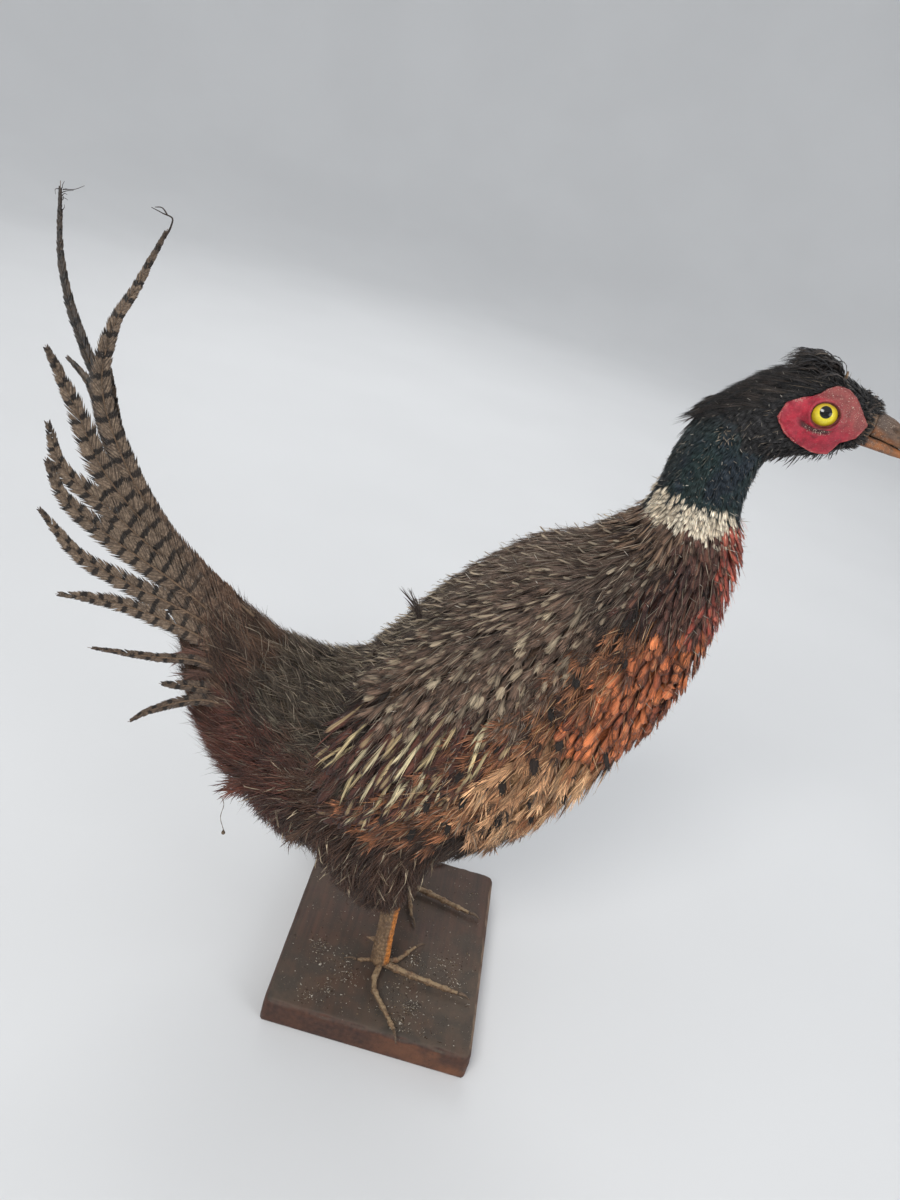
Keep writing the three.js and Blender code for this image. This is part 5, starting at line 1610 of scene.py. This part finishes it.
def build_face(side, sign, middle, hide):
    """The lumpy bare skin, the groove under the eye, and the rim of the lids."""
    face, points, normals = fine_copy(f"face_{side}", 0.00042, 0.6, 10)
    outward = np.clip(normals[:, 1] * sign, 0, 1)
    dx, dz = points[:, 0] - EYE_X, points[:, 2] - EYE_Z
    far = np.hypot(dx, dz / 0.9)
    inside = face_reach(dx, dz) - np.hypot(dx, dz)
    swell = 0.6 * lumps(points, 4.2, 5.1) + 0.36 * lumps(points, 1.9, 9.2) + 0.16 * lumps(points, 0.9, 2.2)
    lobes = 0.9 * ease(far, 8.5, 14) * (0.45 + lumps(points, 6.5, 7.7))
    line_z = 389.4 + 0.02 * dx + 0.022 * dx ** 2
    groove = 1.5 * ease(-np.abs(points[:, 2] - line_z), -1.9, -0.3) * ease(-np.abs(dx + 1.5), -9, -5)
    lid = 0.8 * ease(-np.abs(far - 7.0), -1.2, 0)
    grow = (swell + lobes + lid - groove + 0.4) * outward
    points = points + normals * grow[:, None]
    wider = 1 + (face_more(dx, dz) - 1) * ease(far, 6, 12) - 0.035 * (1 - ease(inside, 0, 2))
    points[:, 0] = EYE_X + (points[:, 0] - EYE_X) * wider
    points[:, 2] = EYE_Z + (points[:, 2] - EYE_Z) * wider
    # the rim follows the skin, and sinks into the feathers round it
    relief = 1.3 * (swell + 0.5 * lobes - 0.8 * groove)
    for i in np.nonzero((far > 8) & (points[:, 1] * sign > 4))[0]:
        beside = Vector((points[i, 0], sign * 60, points[i, 2]))
        found, _, _, _ = hide.tree.ray_cast(beside, Vector((0, -sign, 0)))
        if found:
            level = found[1] * sign + 2.2 * ease(inside[i], -0.2, 2.6) - 0.5 + relief[i]
            share = ease(far[i], 7.4, 12)
            points[i, 1] += sign * min(0, level - points[i, 1] * sign) * share * outward[i]
    reshape(face, points)
    smooth_faces(face)
    add_attribute(face.data, "inside", "FLOAT", inside)

    f = Finish(f"bare_face_{side}", Specular_IOR_Level=0.42, Subsurface_Weight=0.06, Subsurface_Scale=0.001,
               Coat_Roughness=0.4)
    place = f.place()
    x, _, z = f.parts(place)
    dx, dz = (x - EYE_X * MM) * 1000, (z - EYE_Z * MM) * 1000
    away = (dx ** 2 + (dz * 1.1) ** 2) ** 0.5
    blotch = f.noise(place, 300, 3.0)
    cloud = f.noise(place, 110, 3.0)
    fine = f.noise(place, 1700, 3.0)
    pores = f.cells(place, 1300)
    red = f.mix(blotch.ramp(0.3, 0.7), colour(136, 22, 42), colour(178, 38, 58))
    red = f.mix(cloud.ramp(0.45, 0.65) * 0.5, red, colour(166, 52, 68))
    depth = f.attribute("inside", out="Fac")
    lower_rim = depth.ramp(2.4, 0.6) * (dz - 2).ramp(3, -2)
    red = f.mix(lower_rim * blotch.ramp(0.35, 0.6) * 0.5, red, colour(196, 112, 104))
    dusty = (dz * 0.13 + dx * 0.08 + cloud * 2.2 - 0.35).ramp(0.75, 2.0)
    red = f.mix(dusty * 0.75, red, f.mix(blotch, colour(112, 64, 60), colour(158, 100, 92)))
    red = f.mix(pores.ramp(0.3, 0.75) * 0.16, red, colour(92, 14, 24))
    crumbs = fine.ramp(0.62, 0.7) * (dusty * 0.9 + 0.14 + depth.ramp(1.8, 0.4) * 0.7)
    red = f.mix(crumbs, red, colour(208, 188, 170))
    groove_z = dz + 7.6 - dx * 0.02 - dx * dx * 0.022
    # painted shade: the groove under the eye darkened, with pale crumbs lying in it
    shaded_crease = abs(groove_z + (fine - 0.5) * 1.6).ramp(1.9, 0.5) * abs(dx + 1.8).ramp(9.0, 5.5)
    red = f.mix(shaded_crease * 0.92, red, colour(52, 24, 26))
    pale = shaded_crease * fine.ramp(0.53, 0.62) * dx.ramp(-8, -3)
    red = f.mix(pale, red, colour(196, 168, 150))
    corner = ((dx + 14.5) ** 2 + (dz - 6.5) ** 2).math("SQRT")
    red = f.mix(corner.ramp(6, 2.5) * fine.ramp(0.42, 0.6) * 0.8, red, colour(190, 160, 146))
    # painted shade round the eye, where the lid ring sits on the skin
    red = f.mix(away.ramp(7.1, 6.4) * 0.7, red, colour(60, 26, 26))
    f.give(
        Base_Color=red, Roughness=0.4 + 0.25 * blotch + 0.2 * dusty,
        Normal=f.bump(pores * 0.3 + fine * 0.6, 0.00024),
    )
    finished(face, f"bare_face_{side}", f.material, "bare_skin", f"face_{side}")

    select_only()
    bpy.ops.mesh.primitive_torus_add(
        major_segments=64, minor_segments=12, major_radius=LID_RING * MM, minor_radius=LID_THICKNESS * MM,
        rotation=(math.pi / 2, 0, 0),
    )
    lid = bpy.context.object
    bpy.ops.object.transform_apply(location=True, rotation=True, scale=True)
    points = points_of(lid)
    points[:, 2] *= 0.86
    around = np.arctan2(points[:, 2], points[:, 0])
    points[:, 1] += 0.12 * np.sin(around * 9) + 0.1 * np.sin(around * 4 + 1)
    points[:, 0] += 0.12 * np.cos(around * 7)
    dome = math.sqrt(EYE_RADIUS ** 2 - LID_RING ** 2)
    points[:, 1] += sign * (dome + 0.1)
    reshape(lid, points + middle)
    smooth_faces(lid)
    f = Finish(f"eyelid_{side}", Specular_IOR_Level=0.4)
    place = f.place()
    fine = f.noise(place, 1500, 3.0)
    upper = (f.millimetres(place)[2] - EYE_Z).ramp(-3, 3)
    lid_colour = f.mix(upper, colour(120, 36, 42), colour(44, 28, 26))
    f.give(
        Base_Color=f.mix(fine.ramp(0.35, 0.7), lid_colour, colour(110, 62, 54)),
        Roughness=0.5 + 0.2 * fine, Normal=f.bump(fine, 0.0002),
    )
    finished(lid, f"eyelid_{side}", f.material, "bare_skin")


BILL_X = 141  # where the horn comes out of the feathers


def build_bill():
    """Both halves of the bill, with the nostril's pit and the hood over it in the upper one."""
    f = Finish("bill_horn", Specular_IOR_Level=0.45, Coat_Roughness=0.3)
    place = f.place()
    x, _, z = f.millimetres(place)
    grain = f.noise(f.stretch(place, (260, 900, 900)), 1.0, 4.0)
    blotch = f.noise(place, 240, 3.0)
    fine = f.noise(place, 2200, 3.0)
    base = f.mix(x.ramp(BILL_X, 158), colour(92, 78, 70), colour(128, 96, 70))
    base = f.mix(grain.ramp(0.35, 0.7), base, colour(80, 62, 50))
    orange = ((z - 385) + (x - BILL_X) * 0.36).ramp(12.5, 8.5) * blotch.ramp(0.35, 0.6)
    base = f.mix(orange * 0.8, base, colour(158, 98, 54))
    gape = 391.5 + (x - 141.4) * -0.17
    seam = abs(z - gape + (blotch - 0.5) * 0.6).ramp(0.75, 0.3)
    base = f.mix(seam * 0.85, base, colour(92, 72, 56))
    base = f.mix(fine.ramp(0.6, 0.7) * x.ramp(156, 143) * 0.8, base, colour(200, 184, 164))
    f.give(Base_Color=base, Roughness=0.42 + 0.3 * blotch, Normal=f.bump(grain * 0.6 + fine * 0.4, 0.0003))
    for part in ("upper", "lower"):
        half, points, normals = fine_copy(f"bill_{part}", 0.0005, 0.5, 8)
        wide = np.abs(points[:, 1]) > 1.6
        if part == "upper":
            tilt = points[:, 2] - 397.4 + 0.35 * (points[:, 0] - 148.5)
            spot = np.hypot((points[:, 0] - 149.5) / 2.6, (tilt + 0.3) / 0.8)
            pit = 1.2 * ease(-spot, -1.1, -0.4) * wide
            hood = 0.9 * ease(-np.hypot((points[:, 0] - 147.5) / 4.2, (tilt - 1.2) / 1.3), -1.1, -0.2) * wide
            points = points + normals * (hood - pit)[:, None]
            middle, tuck, back = 394.5, 0.1, 2.5
        else:
            middle, tuck, back = 390.5, 0.22, 6.5
            points[:, 2] += 0.5 * ease(points[:, 2], 388, 391)
        keel = 0.25 * ease(points[:, 2], 396, 402) * (part == "upper")
        points = points + normals * (0.16 * lumps(points, 2.5, 1.3) + 0.07 * lumps(points, 0.9, 2.0) + keel)[:, None]
        root = 1 - tuck * (1 - ease(points[:, 0], BILL_X, 150))
        points[:, 1] *= root
        points[:, 2] = middle + (points[:, 2] - middle) * (0.7 + 0.3 * root)
        points[:, 0] -= back * (1 - ease(points[:, 0], BILL_X, 149))
        reshape(half, points)
        smooth_faces(half)
        finished(half, f"horn_bill_{part}", f.material, "bill_horn", f"bill_{part}")


# ---------------------------------------------------------------- legs
def scale_finish(name, orange):
    """Dry scales: orange down the front of the shank, or dull all over with a painted highlight on the tops of the
    toes.
    """
    f = Finish(name, Specular_IOR_Level=0.4)
    place = f.place()
    x, _, z = f.millimetres(place)
    blotch = f.noise(place, 210, 3.0)
    fine = f.noise(place, 1900, 3.0)
    plates = f.cells(f.stretch(place, (1, 1, 0.6)), 780)
    lit = f.parts(f.add("ShaderNodeNewGeometry", out="Normal"))[2]
    dull = f.mix(blotch.ramp(0.3, 0.7), colour(138, 112, 84), colour(100, 78, 60))
    if orange:
        front = (x + (z - 23) * 0.075 + 1.0 + blotch * 1.4).ramp(0.6, 2.2) * z.ramp(20, 27)
        dull = f.mix(front, dull, f.mix(blotch, colour(214, 138, 62), colour(178, 104, 46)))
    dull = f.mix(plates.ramp(0.32, 0.7) * 0.5, dull, colour(62, 46, 34))
    if not orange:
        # painted highlight: the upward-facing tops of the toes paler
        dull = f.mix(lit.ramp(0.3, 1.0) * blotch.ramp(0.4, 0.6) * 0.6, dull, colour(170, 146, 112))
        dull = f.mix(blotch.ramp(0.42, 0.3) * 0.5, dull, colour(112, 72, 52))
    dull = f.mix(fine.ramp(0.6, 0.72) * 0.55, dull, DUST)
    return f.give(
        Base_Color=dull, Roughness=0.55 + 0.25 * fine, Normal=f.bump(fine * 0.4 - plates * 0.8, 0.0003)
    ).material


def scaly(node, name, finish, slot, pitch, origin, way, depth=0.28, voxel=0.00055):
    """A leg or toe from its solid, with overlapping scutes ringed along it."""
    piece, points, normals = fine_copy(node, voxel, 0.5, 4)
    along = (points - origin) @ way
    beat = (along / pitch) % 1
    ring = 1 - np.abs(normals @ way)
    step = depth * (np.where(beat < 0.86, beat / 0.86, (1 - beat) / 0.14) - 0.5) * ring
    knuckle = 0.62 * (0.5 + 0.5 * np.cos(along * 2 * np.pi / 10.5)) ** 5 * (pitch < 3)
    wear = 0.22 * lumps(points, 2.2, 4.0) + (knuckle - 0.42 * (pitch < 3)) * ring
    reshape(piece, points + normals * (step + wear)[:, None])
    smooth_faces(piece)
    return finished(piece, name, finish, slot, node)


def build_legs():
    shank = scale_finish("shank_scales", True)
    toes = scale_finish("toe_scales", False)
    horn = Finish("claw_horn", Specular_IOR_Level=0.45)
    place = horn.place()
    fine = horn.noise(place, 1600, 3.0)
    horn.give(
        Base_Color=horn.mix(fine.ramp(0.3, 0.7), colour(112, 92, 72), colour(70, 56, 46)),
        Roughness=0.5 + 0.2 * fine, Normal=horn.bump(fine, 0.0002),
    )
    for side, sign in SIDES.items():
        scaly(f"leg_{side}", f"scaled_leg_{side}", shank, "leg_scales", 3.4, np.zeros(3), np.array([0, 0, -1.0]))
        for toe in ("inner", "middle", "outer", "hind"):
            node = f"toe_{toe}_{side}"
            low, high = (np.array(c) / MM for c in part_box(node))
            foot = np.array([-3.0, sign * (31 if sign < 0 else 40), 18.0])
            corner = np.where(np.abs(low - foot) > np.abs(high - foot), low, high)
            way = corner - foot
            way[2] = 0
            way /= np.linalg.norm(way)
            scaly(node, f"scaled_{node}", toes, "leg_scales", 2.3, foot, way, 0.22, 0.0005)
            claw = copy_of(f"claw_{toe}_{side}")
            applied(claw, "SUBSURF", levels=2, render_levels=2)
            points, normals = points_of(claw), normals_of(claw)
            reshape(claw, points + normals * (0.08 * lumps(points, 1.6))[:, None])
            smooth_faces(claw)
            finished(claw, f"horn_claw_{toe}_{side}", horn.material, "claw_horn", f"claw_{toe}_{side}")


# ---------------------------------------------------------------- board
BOARD_HALF_X, BOARD_HALF_Y, BOARD_TOP = 60.5, 76.5, 17


def build_board():
    board, points, normals = fine_copy("board", 0.0012, 0.4, 2)
    from_faces = np.stack([
        BOARD_HALF_X - np.abs(points[:, 0]), BOARD_HALF_Y - np.abs(points[:, 1]), BOARD_TOP - points[:, 2],
    ], 1)
    near_edge = ease(-np.sort(from_faces, axis=1)[:, 1], -3.0, -0.4)
    knocks = np.clip(lumps(points, 7, 8.1) + 0.12, 0, 1) * 1.6 + 0.4 * np.clip(lumps(points, 2.5, 1.1), 0, 1)
    sink = near_edge * knocks + 0.1 * lumps(points * (1, 0.25, 1), 2.4, 6.0)
    sink = np.where(points[:, 2] < 1.5, 0, sink)
    points = points - normals * sink[:, None]
    points[:, 2] = np.maximum(points[:, 2], 0)
    reshape(board, points)
    smooth_faces(board, 40)

    f = Finish("stained_board", Specular_IOR_Level=0.35)
    place = f.place()
    x, y, z = f.millimetres(place)
    nz = f.parts(f.add("ShaderNodeNewGeometry", out="Normal"))[2]
    grain = f.noise(f.stretch(place, (330, 14, 330)), 1.0, 5.0)
    rings = f.noise(f.stretch(place, (60, 5, 60)), 1.0, 3.0)
    cloud = f.noise(place, 26, 4.0)
    patch = f.noise(place, 75, 4.0)
    fine = f.noise(place, 1400, 3.0)
    wood = f.mix(grain.ramp(0.3, 0.7), colour(78, 52, 42), colour(54, 38, 32))
    wood = f.mix(rings.ramp(0.45, 0.65) * 0.35, wood, colour(92, 60, 44))
    warm = x.ramp(-30, 60) * nz.ramp(0.6, 0.2)
    wood = f.mix(warm * patch.ramp(0.35, 0.65) * 0.7, wood, colour(124, 80, 54))
    top = nz.ramp(0.5, 0.9)
    dust = top * (cloud * 0.6 + patch * 0.6 - y * 0.0016).ramp(0.3, 0.85)
    wood = f.mix(dust * 0.85, wood, f.mix(patch.ramp(0.4, 0.6), colour(94, 83, 72), colour(76, 70, 63)))
    crumbs = fine.ramp(0.66, 0.72) * (0.25 + 0.75 * patch.ramp(0.45, 0.65))
    wood = f.mix(crumbs * 0.7 * top.ramp(0, 1, 0.35, 1.0), wood, colour(168, 156, 140))
    dark = f.noise(place, 700, 2.0).ramp(0.66, 0.72)
    wood = f.mix(dark * 0.5, wood, colour(38, 28, 24))
    lip = z.ramp(13.6, 15.4) * z.ramp(17.2, 16.4) * nz.ramp(0.97, 0.8) * x.ramp(52, 58)
    wood = f.mix(lip * patch.ramp(0.4, 0.6) * 0.55, wood, colour(146, 122, 100))
    f.give(Base_Color=wood, Roughness=0.5 + 0.3 * dust + 0.1 * fine, Normal=f.bump(grain * 0.5 + fine * 0.5, 0.0003))
    finished(board, "worn_board", f.material, "stained_board", "board")


CRUMBS, HEAPS = 1500, 16
CRUMB_COLOURS = ((176, 164, 146), (132, 114, 92), (70, 54, 44), (206, 198, 184))


def build_crumbs():
    """Dust, chaff and broken barbs lying on the board."""
    n = CRUMBS
    near = chance.random(n) < 0.7
    heap = chance.integers(0, HEAPS, n)
    heap_x, heap_y = chance.uniform(-46, 46, HEAPS), chance.uniform(-70, -6, HEAPS)
    wide = chance.uniform(2, 8, HEAPS)
    x = np.where(near, heap_x[heap] + chance.normal(0, 1, n) * wide[heap], chance.uniform(-56, 56, n))
    y = np.where(near, heap_y[heap] + chance.normal(0, 1, n) * wide[heap], chance.uniform(-72, 72, n))
    keep = (np.abs(x) < 56) & (np.abs(y) < 72)
    x, y = x[keep], y[keep]
    n = len(x)
    size = np.abs(chance.normal(0, 0.24, n)) + 0.16
    stick = chance.random(n) < 0.05
    size = np.where(stick, 0.14, size)
    long = size * np.where(stick, chance.uniform(10, 24, n), chance.uniform(1.2, 2.6, n))
    turn = chance.uniform(0, 2 * np.pi, n)
    way = np.stack([np.cos(turn), np.sin(turn), chance.uniform(-0.05, 0.1, n)], 1)
    side = np.stack([-np.sin(turn), np.cos(turn), np.zeros(n)], 1)
    start = np.stack([x, y, np.full(n, BOARD_TOP - 0.05) + size * 0.25], 1)
    shares = np.array([0, 0.5, 1.0])[None, :, None]
    spines = start[:, None] + way[:, None] * shares * long[:, None, None]
    spines[:, 1] += side * (chance.normal(0, 0.15, n) * long)[:, None]
    widths = np.stack([size * 0.6, size * 1.1, size * 0], 1)
    points, faces = sliver_mesh(spines, widths, 0.35, np.repeat(side[:, None], 3, 1))
    each = points.shape[1]
    all_faces = (faces[None] + (np.arange(n) * each)[:, None, None]).reshape(-1, 3)
    crumbs = new_mesh("crumbs", points.reshape(-1, 3), all_faces)
    tint = np.array([colour(*c) for c in CRUMB_COLOURS])
    pick = tint[chance.integers(0, len(tint), n)] * chance.uniform(0.7, 1.1, n)[:, None]
    pick = np.repeat(np.hstack([pick, np.ones((n, 1))])[:, None], each, 1)
    add_attribute(crumbs.data, "tint", "FLOAT_COLOR", pick)
    f = Finish("dust_crumbs", Specular_IOR_Level=0.2)
    fine = f.noise(f.place(), 2500, 2.0)
    f.give(Base_Color=f.shade(f.attribute("tint"), fine.ramp(0.3, 0.7, 0.8, 1.15)), Roughness=0.85 + 0.1 * fine)
    finished(crumbs, "dust_crumbs", f.material, "stained_board")


# ---------------------------------------------------------------- assembly
build_camera()
build_stage()
light_up()
build_board()
build_crumbs()
skin = build_skin()
hide = Hide(skin)
grow_coat(hide)
build_cap(hide)
build_strands(hide)
build_strays(hide)
build_tail()
for side, sign in SIDES.items():
    build_face(side, sign, build_eye(side, sign), hide)
build_bill()
build_legs()
